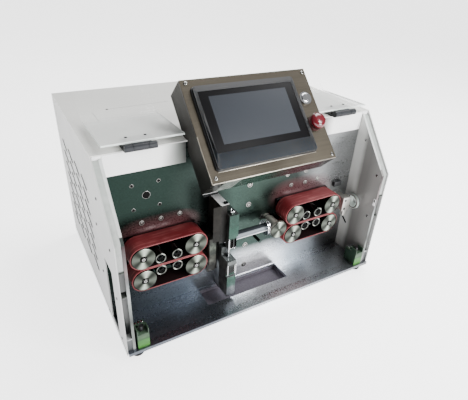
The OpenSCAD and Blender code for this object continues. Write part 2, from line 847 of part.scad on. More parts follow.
// Guide column of the blade head: the body over the wire, its cap, the stay behind the
// wire, the rail that both tool blocks slide on, and the block under the inlet guide
cap_t = 3;
cap_out = 2;
cap_front = 7.5;
stay_d = 12;
stay_z0 = 60;
seat_d = 31;
seat_h = 24;
module head_column() {
  x0 = head_x - column_t / 2;
  z0 = wire_z + column_over;
  color([0.3, 0.31, 0.31]) placed() {
    translate([x0, column_y0, z0])
      cube([column_t, column_y1 - column_y0, column_top - cap_t - z0]);
    translate([x0 - cap_out, column_y0 - cap_front, column_top - cap_t])
      cube([column_t + cap_out, column_y1 - column_y0 + cap_front, cap_t]);
    translate([x0, column_y1 - stay_d, stay_z0]) cube([column_t, stay_d, z0 - stay_z0 + over]);
    translate([column_x1 - over, rail_y, z0])
      cube([rail_t + over, column_y1 - rail_y, upper_z1 + blade_travel - z0]);
    translate([column_x1, rail_y, rail_z0])
      cube([rail_t, column_y1 - rail_y, z0 - rail_z0 + over]);
    translate([guide_x, column_y1 - seat_d, guide_z0 - gap - seat_h])
      cube([x0 - guide_x + over, seat_d, seat_h]);
  }
}

// Groove of a tool block for the column's rail, and the slot for its blade
module tool_cuts(z0, z1) {
  translate([tool_x0 - over, rail_y - gap, z0 - over])
    cube([rail_t + over, tool_y0 + tool_d - rail_y + gap + over, z1 - z0 + 2 * over]);
}

// Upper tool block with the blade clamp in front and a socket screw on top
clamp_z0 = 139;
clamp_d = 13;
clamp_in = 3;
tool_screw_r = 5;
tool_screw_h = 4;
module upper_tool() {
  color([0.34, 0.37, 0.36]) placed()
    difference() {
      union() {
        translate([tool_x0, tool_y0, upper_z0]) cube([tool_w, tool_d, upper_z1 - upper_z0]);
        translate([tool_x0, tool_y0, clamp_z0])
          cube([tool_w - clamp_in, clamp_d, upper_z0 - clamp_z0 + over]);
        translate([tool_x0 + tool_w / 2, tool_y0 + clamp_d / 2, upper_z1])
          cylinder(r = tool_screw_r, h = tool_screw_h);
      }
      tool_cuts(upper_z0, upper_z1);
      translate([blade_x(1) - run, blade_y0 - run, upper_z0 - over])
        cube([blade_t + 2 * run, blade_d + 2 * run, blade_seat + over]);
      translate([tool_x0 + tool_w / 2, tool_y0 + clamp_d / 2, upper_z1 + tool_screw_h / 2])
        cylinder(r = tool_screw_r / 2, h = tool_screw_h, $fn = 6);
    }
}

// Lower tool block: a step behind, a recess in front and the blade's slot
step_d = 18;
step_h = 19;
recess_z0 = 67;
recess_h = 25;
recess_d = 6;
module lower_tool() {
  color([0.34, 0.37, 0.36]) placed()
    difference() {
      union() {
        translate([tool_x0, tool_y0, lower_z0]) cube([tool_w, tool_d, lower_z1 - lower_z0]);
        translate([tool_x0, tool_y0 + tool_d - step_d, lower_z1 - over])
          cube([tool_w, step_d, step_h + over]);
      }
      tool_cuts(lower_z0, lower_z1 + step_h);
      translate([tool_x0 - over, tool_y0 - over, recess_z0])
        cube([tool_w + 2 * over, recess_d + over, recess_h]);
      translate([blade_x(-1) - run, blade_y0 - run, lower_z1 - blade_seat])
        cube([blade_t + 2 * run, blade_d + 2 * run, blade_seat + step_h + over]);
    }
}

// Blades: ground plates with a vee over the wire, the upper one right of the lower
blade_seat = 18;
blade_y0 = wire_y - blade_d / 2;
vee_w = 12;
vee_deep = 5;
blade_nip = 1;
function blade_x(up) = tool_x0 + tool_w / 2 + (up > 0 ? gap / 2 : -gap / 2 - blade_t);
module blade(up, foot) {
  side_plate(blade_x(up), blade_t) translate([blade_y0, wire_z]) scale([1, up])
    polygon([
      [0, blade_open + blade_nip], [blade_nip, blade_open], [(blade_d - vee_w) / 2, blade_open],
      [blade_d / 2, blade_open + vee_deep], [(blade_d + vee_w) / 2, blade_open],
      [blade_d - blade_nip, blade_open], [blade_d, blade_open + blade_nip],
      [blade_d, foot], [0, foot]
    ]);
}
module upper_blade() {
  color([0.8, 0.81, 0.83]) placed() blade(1, upper_z0 - wire_z + blade_seat - run);
}
module lower_blade() {
  color([0.8, 0.81, 0.83]) placed() blade(-1, wire_z - lower_z1 + blade_seat - run);
}

// Fixed post on which the conduit's hub turns, drilled across for the wire
post_collar_r = 11;
post_bore_r = 3.2;
module tube_post() {
  color([0.7, 0.71, 0.72]) placed()
    difference() {
      union() {
        bar_y(hub_x, wire_z, hub_y1 + gap, plate_y, post_collar_r);
        bar_y(hub_x, wire_z, hub_y0 + hub_disc_t + gap, plate_y, post_r);
      }
      bar_x(wire_y, wire_z, hub_x - hub_r - over, hub_x + hub_r + over, post_bore_r);
    }
}

// Turning hub with its broad front disc and the neck that takes the tube
module tube_hub() {
  color([0.72, 0.74, 0.74]) placed()
    difference() {
      union() {
        bar_y(hub_x, wire_z, hub_y0, hub_y0 + hub_disc_t, hub_disc_r);
        bar_y(hub_x, wire_z, hub_y0 + over, hub_y1, hub_r);
        bar_x(wire_y, wire_z, tube_x1, hub_x, tube_r);
      }
      bar_y(hub_x, wire_z, hub_y0 + hub_disc_t, hub_y1 + over, post_r + run);
      bar_x(wire_y, wire_z, tube_x1 - over, hub_x + hub_r + over, tube_bore_r);
    }
}

// Polished conduit tube with its flange against the hub's neck
module conduit_tube() {
  color([0.85, 0.86, 0.87]) placed()
    difference() {
      union() {
        bar_x(wire_y, wire_z, tube_x1 - tube_len, tube_x1, tube_r);
        bar_x(wire_y, wire_z, tube_x1 - flange_t, tube_x1, flange_r);
      }
      bar_x(wire_y, wire_z, tube_x1 - tube_len - over, tube_x1 + over, tube_bore_r);
    }
}

// Guide plate left of the column, with a funnel and bore for the wire
guide_t = 14;
guide_clear = 3.5;
guide_x = head_x - column_t / 2 - guide_clear - guide_t;
guide_y0 = 50;
guide_z0 = 100;
guide_z1 = 162;
guide_bore_r = 3;
funnel_r = 7;
funnel_len = 6;
module inlet_guide() {
  color([0.62, 0.62, 0.48]) placed()
    difference() {
      translate([guide_x, guide_y0, guide_z0])
        cube([guide_t, plate_y - guide_y0, guide_z1 - guide_z0]);
      bar_x(wire_y, wire_z, guide_x - over, guide_x + guide_t + over, guide_bore_r);
      translate([guide_x, wire_y, wire_z]) rotate([0, 90, 0])
        cylinder(r1 = funnel_r, r2 = guide_bore_r, h = funnel_len);
    }
}

// Clear outlet bushing in the right inner panel
bushing_r = 18;
bushing_t = 5;
bushing_bore_r = 6;
module outlet_bushing() {
  color([0.85, 0.93, 0.93, 0.6]) placed()
    difference() {
      union() {
        bar_x(wire_y, wire_z, inner_x - bushing_t, inner_x, bushing_r);
        bar_x(wire_y, wire_z, inner_x - over, panel_x, panel_hole_r - run);
      }
      bar_x(wire_y, wire_z, inner_x - bushing_t - over, panel_x + over, bushing_bore_r);
      translate([inner_x - bushing_t, wire_y, wire_z]) rotate([0, 90, 0])
        cylinder(r1 = bushing_r - bushing_t, r2 = bushing_bore_r, h = bushing_t);
    }
}

// Switch housings in the two front corners, with tabs round their plungers
tab_h = 10;
tab_t = 2;
plunger_in = 12;
function switch_x(s) = s * (inner_x - switch_side - switch_w / 2);
module switch_bodies() {
  color([0.25, 0.5, 0.3]) placed()
    for (s = [-1, 1]) translate([switch_x(s), switch_y0, base_t]) difference() {
      union() {
        translate([-switch_w / 2, 0, 0]) cube([switch_w, switch_d, switch_h]);
        for (x = [-switch_w / 2, switch_w / 2 - tab_t])
          translate([x, 0, switch_h - over]) cube([tab_t, switch_d / 2, tab_h + over]);
      }
      translate([0, plunger_in, switch_h / 2])
        cylinder(r = plunger_r + run, h = switch_h);
    }
}
switch_side = 3.5;
module plunger(s) {
  translate([switch_x(s), switch_y0 + plunger_in, base_t + switch_h / 2 + plunger_out])
    cylinder(r = plunger_r, h = switch_h / 2 + plunger_out);
}
module left_plunger() {
  color([0.8, 0.8, 0.8]) placed() plunger(-1);
}
module right_plunger() {
  color([0.8, 0.8, 0.8]) placed() plunger(1);
}

base_plate();
mounting_plate();
cabinet_shell();
rear_panel();
fascia();
left_inner_panel();
right_inner_panel();
wing_spacers();
feet();
console_box();
console_plate();
hmi_bezel();
hmi_screen();
button_ring();
start_button();
estop_collar();
estop_mushroom();
left_cover();
right_cover();
left_cover_leaf();
right_cover_leaf();
left_roof_leaf();
right_roof_leaf();
left_upper_carriage();
left_lower_block();
right_upper_carriage();
right_lower_block();
left_upper_belt();
left_lower_belt();
right_upper_belt();
right_lower_belt();
left_upper_pulley_a();
left_upper_pulley_b();
left_upper_idler_a();
left_upper_idler_b();
left_lower_pulley_a();
left_lower_pulley_b();
left_lower_idler_a();
left_lower_idler_b();
right_upper_pulley_a();
right_upper_pulley_b();
right_upper_idler_a();
right_upper_idler_b();
right_lower_pulley_a();
right_lower_pulley_b();
right_lower_idler_a();
right_lower_idler_b();
head_column();
upper_tool();
lower_tool();
upper_blade();
lower_blade();
tube_post();
tube_hub();
conduit_tube();
inlet_guide();
outlet_bushing();
switch_bodies();
left_plunger();
right_plunger();
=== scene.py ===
"""Visual model of a benchtop wire cutting and stripping machine with sixteen feed wheels.

Lengths are millimetres in the machine's own frame until a piece is made: X from the middle,
Y from the wings' front edges to the rear, Z from the underside of the base.
"""
import logging
import math
from dataclasses import dataclass
from enum import Enum
from typing import Dict, List, Optional, Sequence, Tuple

import bmesh
import bpy
import numpy as np
from mathutils import Matrix, Vector


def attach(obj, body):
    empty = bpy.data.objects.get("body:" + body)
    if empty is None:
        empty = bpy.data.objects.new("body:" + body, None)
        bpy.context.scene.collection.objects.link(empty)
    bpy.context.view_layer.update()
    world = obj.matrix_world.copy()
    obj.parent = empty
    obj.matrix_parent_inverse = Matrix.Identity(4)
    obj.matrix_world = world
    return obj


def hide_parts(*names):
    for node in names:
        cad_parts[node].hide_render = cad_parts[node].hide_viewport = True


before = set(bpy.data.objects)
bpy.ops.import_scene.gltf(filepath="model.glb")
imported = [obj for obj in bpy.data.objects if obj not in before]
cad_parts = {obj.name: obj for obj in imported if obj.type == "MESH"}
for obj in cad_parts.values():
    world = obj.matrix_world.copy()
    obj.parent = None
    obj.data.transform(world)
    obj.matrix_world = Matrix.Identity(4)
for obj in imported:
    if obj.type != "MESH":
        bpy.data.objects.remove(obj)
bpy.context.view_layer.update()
LOG = logging.getLogger("wire_machine")

Array = np.ndarray
Triple = Tuple[float, float, float]
Colour = Tuple[float, float, float]
Four = Tuple[float, float, float, float]
Spots = Sequence[Tuple[float, float]]
Material = bpy.types.Material
Socket = bpy.types.NodeSocket
MM = 0.001
ROW_SHIFT = np.array([0.0, -219.5, 14.0])  # from the machine's own frame to the CAD frame
SHARP = math.radians(32.0)  # edges sharper than this are shaded sharp
EDGE_STEPS = 3  # steps of a slab's rounded edge
EASE_STEPS = 2  # segments of a bevel
EASE_FROM = math.radians(40.0)  # edges sharper than this get a bevel
MERGE = 1e-6  # metres within which doubled corners are merged
FLAT = 0.01  # radians under which faces are joined in one
FACES_SIDE = 0.9  # cosine from which a face counts as looking to a side
LEFT_FEED_X = -186.5
RIGHT_FEED_X = 137.5


def tone(red: float, green: float, blue: float) -> Four:
    """Turns a display colour of 0 to 255 into linear light.

    Args:
        red, green, blue: The display values.
    Returns:
        Linear red, green, blue and an alpha of one.
    """
    shown = np.array([red, green, blue]) / 255.0
    light = np.where(shown <= 0.04045, shown / 12.92, ((shown + 0.055) / 1.055) ** 2.4)
    return (float(light[0]), float(light[1]), float(light[2]), 1.0)


def dimmed(light: Sequence[float], gain: float) -> Four:
    """Scales a linear colour: red, green and blue times the gain, at most one, alpha one."""
    red, green, blue = (min(1.0, part * gain) for part in light[:3])
    return (red, green, blue, 1.0)


# ---------------------------------------------------------------- shapes


@dataclass
class Shape:
    """A surface of four-sided faces and flat caps, in millimetres.

    Attributes:
        points: All points, (k, 3).
        quads: Corner numbers of the four-sided faces, (q, 4).
        tags: Finish number of each four-sided face.
        uvs: Round and along coordinates of each face's corners, (q, 4, 2).
        caps: Loops of corner numbers.
        cap_tags: Finish number of each cap.
    """

    points: Array
    quads: Array
    tags: Array
    uvs: Array
    caps: List[Array]
    cap_tags: List[int]


def join(shapes: Sequence[Shape]) -> Shape:
    """Puts several shapes in one, with their corner numbers moved on.

    Args:
        shapes: What goes together.
    Returns:
        One shape.
    """
    starts = np.cumsum([0] + [len(s.points) for s in shapes])
    return Shape(
        np.concatenate([s.points for s in shapes]),
        np.concatenate([s.quads + k for s, k in zip(shapes, starts)]),
        np.concatenate([s.tags for s in shapes]),
        np.concatenate([s.uvs for s in shapes]),
        [c + k for s, k in zip(shapes, starts) for c in s.caps],
        [t for s in shapes for t in s.cap_tags],
    )


def repeat(shape: Shape, places: Array) -> Shape:
    """Copies one shape to many places: every point plus every place.

    Args:
        shape: What is copied.
        places: Offsets, (n, 3).
    Returns:
        One shape with all the copies.
    """
    places = np.asarray(places, float)
    count, size = len(places), len(shape.points)
    steps = size * np.arange(count)
    return Shape(
        (shape.points[None] + places[:, None]).reshape(-1, 3),
        (shape.quads[None] + steps[:, None, None]).reshape(-1, 4),
        np.tile(shape.tags, count),
        np.tile(shape.uvs, (count, 1, 1)),
        [c + k for k in steps for c in shape.caps],
        shape.cap_tags * count,
    )


def skin(rings: Array, cap_tag: int = 0, hoop: bool = False) -> Shape:
    """Skins rings of points: face (i, j) joins points j and j+1 of rings i and i+1.

    Args:
        rings: Points of each ring, (n, m, 3).
        cap_tag: Finish number of both caps; the skin has number 0.
        hoop: Joins the last ring to the first one, with no caps.
    Returns:
        A closed shape whose faces point outwards.
    """
    count, around = rings.shape[:2]
    index = np.arange(count * around).reshape(count, around)
    lower, upper = (index, np.roll(index, -1, 0)) if hoop else (index[:-1], index[1:])
    quads = np.stack([lower, np.roll(lower, -1, 1), np.roll(upper, -1, 1), upper], -1)
    steps = np.linalg.norm(np.diff(rings, axis=0), axis=2).mean(1)
    if hoop:
        steps = np.append(steps, np.linalg.norm(rings[0] - rings[-1], axis=1).mean())
    along = np.concatenate([[0.0], np.cumsum(steps)]) * MM
    side = np.arange(around + 1) / around
    first, second = np.broadcast_to(side[:-1], lower.shape), np.broadcast_to(side[1:], lower.shape)
    low = np.broadcast_to(along[:-1, None], lower.shape)
    high = np.broadcast_to(along[1:, None], lower.shape)
    uvs = np.stack([np.stack([first, low], -1), np.stack([second, low], -1),
                    np.stack([second, high], -1), np.stack([first, high], -1)], 2)
    quads = quads.reshape(-1, 4)
    ends = [] if hoop else [index[0][::-1], index[-1]]
    points = rings.reshape(-1, 3)
    corner = points[quads]
    middle = points.mean(0)
    volume = np.einsum("ij,ij->i", corner[:, 0] - middle,
                       np.cross(corner[:, 1] - corner[:, 0], corner[:, 2] - corner[:, 0])
                       + np.cross(corner[:, 2] - corner[:, 0], corner[:, 3] - corner[:, 0])).sum()
    for loop in ends:
        ring = points[loop] - middle
        volume += float((ring[:1] * np.cross(ring[1:-1], ring[2:])).sum())
    uvs = uvs.reshape(-1, 4, 2)
    if volume < 0:
        quads, uvs, ends = quads[:, ::-1], uvs[:, ::-1], [loop[::-1] for loop in ends]
    return Shape(points, quads, np.zeros(len(quads), int), uvs, ends, [cap_tag] * len(ends))


def rounded(corners: Spots, radii, steps: int = 6) -> Array:
    """Rounds an outline's corners: each becomes an arc that meets both sides.

    With half the corner's angle h, the arc starts r / tan h along each side, its middle lies
    r / sin h along the corner's halving line, and its points slide from one end to the other.

    Args:
        corners: The outline, counter-clockwise.
        radii: One radius, or one for each corner.
        steps: Points of each arc.
    Returns:
        The outline's points, (n * steps, 2).
    """
    spot = np.asarray(corners, float)
    radius = np.broadcast_to(np.asarray(radii, float), len(spot))[:, None]
    back = np.roll(spot, 1, 0) - spot
    ahead = np.roll(spot, -1, 0) - spot
    back /= np.linalg.norm(back, axis=1, keepdims=True)
    ahead /= np.linalg.norm(ahead, axis=1, keepdims=True)
    half = np.arccos(np.clip((back * ahead).sum(1), -0.999999, 0.999999))[:, None] / 2
    mid = back + ahead
    mid /= np.linalg.norm(mid, axis=1, keepdims=True)
    hub = spot + mid * radius / np.sin(half)
    first = spot + back * radius / np.tan(half) - hub
    last = spot + ahead * radius / np.tan(half) - hub
    turn = np.pi - 2 * half
    share = np.linspace(0, 1, steps)[None]
    near = np.sin((1 - share) * turn) / np.sin(turn)
    far = np.sin(share * turn) / np.sin(turn)
    arc = hub[:, None] + near[..., None] * first[:, None] + far[..., None] * last[:, None]
    return arc.reshape(-1, 2)


def oblong(x0: float, y0: float, x1: float, y1: float, radius: float = 0.5,
           steps: int = 4) -> Array:
    """Outline of a rectangle with round corners, from its two corners and radius."""
    return rounded([(x0, y0), (x1, y0), (x1, y1), (x0, y1)], radius, steps)


def mitres(outline: Array) -> Array:
    """Outward step of each corner that moves both its sides by one: (n1 + n2) / (1 + n1.n2)."""
    side = np.roll(outline, -1, 0) - outline
    side /= np.maximum(np.linalg.norm(side, axis=1, keepdims=True), 1e-9)
    out = np.stack([side[:, 1], -side[:, 0]], -1)
    before = np.roll(out, 1, 0)
    return (out + before) / (1 + (out * before).sum(1, keepdims=True))


def slab(outline: Array, low: float, high: float, edge: float = 0.4) -> Shape:
    """Plate over an outline, with rounded top and bottom edges.

    Ring k lies at the outline minus its mitres times the edge's inset, edge (1 - sin a), at a
    height edge (1 - cos a) in from the face, for the angle a from nothing to a quarter turn.

    Args:
        outline: Counter-clockwise outline, (m, 2).
        low, high: Heights of the two faces.
        edge: Radius of the edges round both faces.
    Returns:
        The closed plate.
    """
    angle = np.linspace(0, np.pi / 2, EDGE_STEPS + 1)
    inset = edge * (1 - np.sin(angle))
    rise = edge * (1 - np.cos(angle))
    inset = np.concatenate([inset, inset[::-1]])
    height = np.concatenate([low + rise, high - rise[::-1]])
    flat = outline[None] - inset[:, None, None] * mitres(outline)[None]
    tall = np.broadcast_to(height[:, None, None], flat.shape[:2] + (1,))
    return skin(np.concatenate([flat, tall], 2))


def framed(outer: Array, inner: Array, low: float, high: float, edge: float = 0.4,
           wall_tag: int = 0) -> Shape:
    """Plate with one opening: a hoop of rings from the outer outline over to the inner one.

    Args:
        outer, inner: Outlines with as many points each, both counter-clockwise.
        low, high: Heights of the two faces.
        edge: Bevel of the outer top edge.
        wall_tag: Finish number of the outer wall.
    Returns:
        The closed plate.
    """
    shrunk = outer - edge * mitres(outer)
    half = outer - 0.3 * edge * mitres(outer)
    flats = [outer, outer, half, shrunk, inner, inner]
    highs = [low, high - edge, high - 0.3 * edge, high, high, low]
    rings = np.stack([np.column_stack([f, np.full(len(f), h)]) for f, h in zip(flats, highs)])
    plate = skin(rings, hoop=True)
    plate.tags[:len(outer)] = wall_tag
    return plate


def turned(profile: Spots, steps: int = 48, hoop: bool = False,
           cap_tag: int = 0) -> Shape:
    """Turned part: ring k is the circle of the profile's radius k at its height k.

    Args:
        profile: Radius and height of each point, going up the outside.
        steps: Points round each ring.
        hoop: The profile closes on itself.
        cap_tag: Finish number of the caps.
    Returns:
        The closed part.
    """
    radius, height = np.asarray(profile, float).T
    angle = np.arange(steps) * 2 * np.pi / steps
    rings = np.stack([radius[:, None] * np.cos(angle), radius[:, None] * np.sin(angle),
                      np.broadcast_to(height[:, None], (len(radius), steps))], -1)
    return skin(rings, cap_tag, hoop)


def swept(section: Array, path: Array) -> Shape:
    """Carries a section round a flat loop: path point plus its normal times the section's first
    coordinate, and the second coordinate across.

    Args:
        section: Points (m, 2), counter-clockwise.
        path: Points of the loop, (n, 2).
    Returns:
        The closed band.
    """
    flat = path[:, None] + mitres(path)[:, None] * section[None, :, :1]
    across = np.broadcast_to(section[None, :, 1:], flat.shape[:2] + (1,))
    return skin(np.concatenate([flat, across], 2), hoop=True)


def tube(path: Array, radius: float, around: int = 12) -> Shape:
    """Round rod along a path in space: at each point a circle square to the path.

    The first cross direction is the path's direction times the axis that it follows least, and
    the second is the direction times the first.

    Args:
        path: Points (n, 3).
        radius: Radius of the rod.
        around: Points of each ring.
    Returns:
        The closed rod.
    """
    path = np.asarray(path, float)
    ahead = np.gradient(path, axis=0)
    ahead /= np.linalg.norm(ahead, axis=1, keepdims=True)
    least = np.eye(3)[np.argmin(np.abs(ahead).sum(0))]
    side = np.cross(ahead, least)
    side /= np.linalg.norm(side, axis=1, keepdims=True)
    other = np.cross(ahead, side)
    angle = np.arange(around) * 2 * np.pi / around
    rings = (path[:, None] + radius * (np.cos(angle)[None, :, None] * side[:, None]
                                       + np.sin(angle)[None, :, None] * other[:, None]))
    return skin(rings)


@dataclass(frozen=True)
class Seat:
    """Where a shape sits: its origin, and the directions of its right, up and out."""

    origin: Triple
    right: Triple
    up: Triple
    out: Triple

    def put(self, shape: Shape) -> Shape:
        """Moves a shape here: origin plus x right, y up and z out.

        Args:
            shape: The shape in its own axes.
        Returns:
            The shape in the machine's frame.
        """
        axes = np.array([self.right, self.up, self.out], float)
        return Shape(shape.points @ axes + np.array(self.origin, float), shape.quads, shape.tags,
                     shape.uvs, shape.caps, shape.cap_tags)


class Facing(Enum):
    """Which way a seat's out direction points, with its right and up directions."""

    FRONT = ((1, 0, 0), (0, 0, 1), (0, -1, 0))
    REAR = ((-1, 0, 0), (0, 0, 1), (0, 1, 0))
    LEFT = ((0, -1, 0), (0, 0, 1), (-1, 0, 0))
    RIGHT = ((0, 1, 0), (0, 0, 1), (1, 0, 0))
    TOP = ((1, 0, 0), (0, 1, 0), (0, 0, 1))

    def at(self, x: float, y: float, z: float) -> Seat:
        """Seat that faces this way, with its origin at a point of the machine."""
        return Seat((x, y, z), *self.value)


def make(name: str, shapes, finishes, body: str, stands_for: Sequence[str] = (),
         smooth: bool = True) -> bpy.types.Object:
    """Makes a finished piece of shapes that are in the machine's frame.

    Args:
        name: The piece's name.
        shapes: One shape, or several that become one mesh.
        finishes: One material, or one for each finish number.
        body: The CAD body that it rides on.
        stands_for: CAD nodes that it replaces.
        smooth: Shades faces smooth up to the sharp angle.
    Returns:
        The object, at the origin, in metres.
    """
    shape = join(shapes) if isinstance(shapes, (list, tuple)) else shapes
    finishes = list(finishes) if isinstance(finishes, (list, tuple)) else [finishes]
    mesh = bpy.data.meshes.new(name)
    points = (shape.points + ROW_SHIFT) * MM
    mesh.from_pydata(points.tolist(), [], shape.quads.tolist() + [c.tolist() for c in shape.caps])
    tags = np.concatenate([shape.tags, np.array(shape.cap_tags, int)]).astype(np.int32)
    mesh.polygons.foreach_set("material_index", tags)
    layer = mesh.uv_layers.new(name="lay")
    flat = np.zeros((len(mesh.loops), 2), np.float32)
    flat[:shape.uvs.size // 2] = shape.uvs.reshape(-1, 2)
    layer.data.foreach_set("uv", flat.ravel())
    for finish in finishes:
        mesh.materials.append(finish)
    mesh.validate()
    if smooth:
        mesh.polygons.foreach_set("use_smooth", np.ones(len(mesh.polygons), bool))
        mesh.set_sharp_from_angle(angle=SHARP)
    mesh.update()
    piece = bpy.data.objects.new(name, mesh)
    bpy.context.scene.collection.objects.link(piece)
    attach(piece, body)
    if stands_for:
        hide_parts(*stands_for)
    LOG.info("%s: %d faces on %s", name, len(mesh.polygons), body)
    return piece


class Side(Enum):
    """Sides of a piece that can take a finish of their own, by their outward direction, for lit and
    shaded copies of one finish.
    """

    FRONT = (0.0, -1.0, 0.0)
    LEFT = (-1.0, 0.0, 0.0)
    TOP = (0.0, 0.0, 1.0)


def eased(node: str, finish: Material, width: float, body: str,
          name: Optional[str] = None,
          sides: Optional[Dict[Side, Material]] = None,
          smooth: bool = True) -> bpy.types.Object:
    """Copies a CAD node with its doubles merged and its sharp edges eased by a bevel.

    Args:
        node: The CAD node, which the copy replaces.
        finish: Its material.
        width: The bevel's width in millimetres.
        body: The body that it rides on.
        name: The piece's name, or the node's with an ending.
        sides: Finishes of the faces that look to these sides: lit and shaded copies, as painted
            light.
        smooth: Whether the shading runs over the bevel, which one face with holes can't take.
    Returns:
        The piece.
    """
    name = name or node + "_eased"
    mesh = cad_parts[node].data.copy()
    mesh.name = name
    work = bmesh.new()
    work.from_mesh(mesh)
    bmesh.ops.remove_doubles(work, verts=work.verts, dist=MERGE)
    bmesh.ops.dissolve_limit(work, angle_limit=FLAT, verts=work.verts, edges=work.edges)
    bmesh.ops.recalc_face_normals(work, faces=work.faces)
    work.to_mesh(mesh)
    work.free()
    mesh.materials.clear()
    mesh.materials.append(finish)
    count = len(mesh.polygons)
    normals = np.empty(count * 3)
    mesh.polygons.foreach_get("normal", normals)
    index = np.zeros(count, np.int32)
    for number, (side, other) in enumerate((sides or {}).items(), 1):
        mesh.materials.append(other)
        index[normals.reshape(-1, 3) @ np.array(side.value) > FACES_SIDE] = number
    mesh.polygons.foreach_set("material_index", index)
    mesh.polygons.foreach_set("use_smooth", np.full(count, smooth))
    piece = bpy.data.objects.new(name, mesh)
    bpy.context.scene.collection.objects.link(piece)
    bevel = piece.modifiers.new("edge", "BEVEL")
    bevel.width = width * MM
    bevel.segments = EASE_STEPS
    bevel.limit_method = "ANGLE"
    bevel.angle_limit = EASE_FROM
    bevel.harden_normals = smooth
    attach(piece, body)
    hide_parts(node)
    LOG.info("%s: eased by %.1f mm on %s", name, width, body)
    return piece


def dress(node: str, finish: Material) -> None:
    """Gives a CAD node that stays as it is its material."""
    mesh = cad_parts[node].data
    mesh.materials.clear()
    mesh.materials.append(finish)


# ---------------------------------------------------------------- finishes


class Graph:
    """A material's nodes, with the steps that the finishes share."""

    def __init__(self, name: str) -> None:
        """Starts a material that has one main shader."""
        self.material = bpy.data.materials.new(name)
        self.material.use_nodes = True
        self.nodes = self.material.node_tree.nodes
        self.links = self.material.node_tree.links
        self.nodes.clear()
        self.shader = self.nodes.new("ShaderNodeBsdfPrincipled")
        output = self.nodes.new("ShaderNodeOutputMaterial")
        self.links.new(self.shader.outputs[0], output.inputs["Surface"])

    def add(self, kind: str, values: Optional[dict] = None, **links) -> bpy.types.Node:
        """Adds a node.

        Args:
            kind: The node's type, without its ShaderNode start.
            values: Settings by name, or input values by socket name or number.
            **links: Sockets that go into the inputs of these names.
        Returns:
            The node.
        """
        node = self.nodes.new("ShaderNode" + kind)
        for key, value in (values or {}).items():
            if isinstance(key, int) or key in node.inputs:
                node.inputs[key].default_value = value
            else:
                setattr(node, key, value)
        for key, socket in links.items():
            self.links.new(socket, node.inputs[key.replace("_", " ")])
        return node

    def feed(self, entry: Socket, value) -> None:
        """Links a socket to an input, or sets the input to a value that isn't a socket."""
        if isinstance(value, Socket):
            self.links.new(value, entry)
        else:
            entry.default_value = value

    def set(self, **values) -> None:
        """Feeds the main shader's inputs of these names."""
        for key, value in values.items():
            self.feed(self.shader.inputs[key.replace("_", " ")], value)

    def spot(self, scale: Triple = (1, 1, 1)) -> Socket:
        """Object coordinates in metres, times a scale for each axis."""
        here = self.add("TexCoord").outputs["Object"]
        return self.add("Mapping", {"Scale": scale}, Vector=here).outputs[0]

    def noise(self, where: Socket, scale: float, detail: float = 3.0,
              rough: float = 0.5) -> Socket:
        """Cloudy noise from nought to one."""
        values = {"Scale": scale, "Detail": detail, "Roughness": rough}
        return self.add("TexNoise", values, Vector=where).outputs["Fac"]

    def ramp(self, share: Socket, stops) -> Socket:
        """Colours along a share, from (place, colour) stops."""
        node = self.add("ValToRGB", None, Fac=share)
        bar = node.color_ramp.elements
        for place, colour in stops[2:]:
            bar.new(place)
        for item, (place, colour) in zip(bar, sorted(stops, key=lambda stop: stop[0])):
            item.position, item.color = place, colour
        return node.outputs["Color"]

    def blend(self, share, low, high) -> Socket:
        """Mixes two colours, each a socket or a value, by a share."""
        node = self.add("Mix", {"data_type": "RGBA"})
        for number, value in ((0, share), (6, low), (7, high)):
            self.feed(node.inputs[number], value)
        return node.outputs[2]

    def scaled(self, colour: Socket, gain) -> Socket:
        """Multiplies a colour by a gain."""
        return self.add("VectorMath", {"operation": "SCALE"}, Vector=colour,
                        Scale=gain).outputs[0]

    def math(self, how: str, first, second=0.0, third=0.0) -> Socket:
        """Works out a number from up to three, each a socket or a value."""
        node = self.add("Math", {"operation": how})
        for entry, value in zip(node.inputs, (first, second, third)):
            self.feed(entry, value)
        return node.outputs[0]

    def spread(self, share, low: float, high: float, start: float = 0.0,
               stop: float = 1.0) -> Socket:
        """Maps a share between start and stop to low and high."""
        values = {"From Min": start, "From Max": stop, "To Min": low, "To Max": high}
        return self.add("MapRange", values, Value=share).outputs[0]

    def bump(self, height: Socket, strength: float, depth: float) -> None:
        """Bumps the main shader's normal by a height, depth in millimetres."""
        values = {"Strength": strength, "Distance": depth * MM}
        self.set(Normal=self.add("Bump", values, Height=height).outputs[0])


@dataclass(frozen=True)
class Paint:
    """Powder coat or paint: a mottled colour with a fine orange peel."""

    name: str
    colour: Colour
    roughness: float = 0.45
    mottle: float = 0.03
    peel: float = 0.25

    def build(self) -> Material:
        """Makes the material: colour times slow noise, roughness by finer noise, peel bump."""
        g = Graph(self.name)
        here = g.spot()
        slow = g.noise(here, 9.0, 4.0)
        base = tone(*self.colour)
        g.set(Base_Color=g.blend(slow, base, dimmed(base, 1 - self.mottle)),
              Roughness=g.spread(g.noise(here, 60.0), self.roughness - 0.06,
                                 self.roughness + 0.08))
        g.bump(g.noise(here, 900.0, 1.0), self.peel, 0.05)
        return g.material


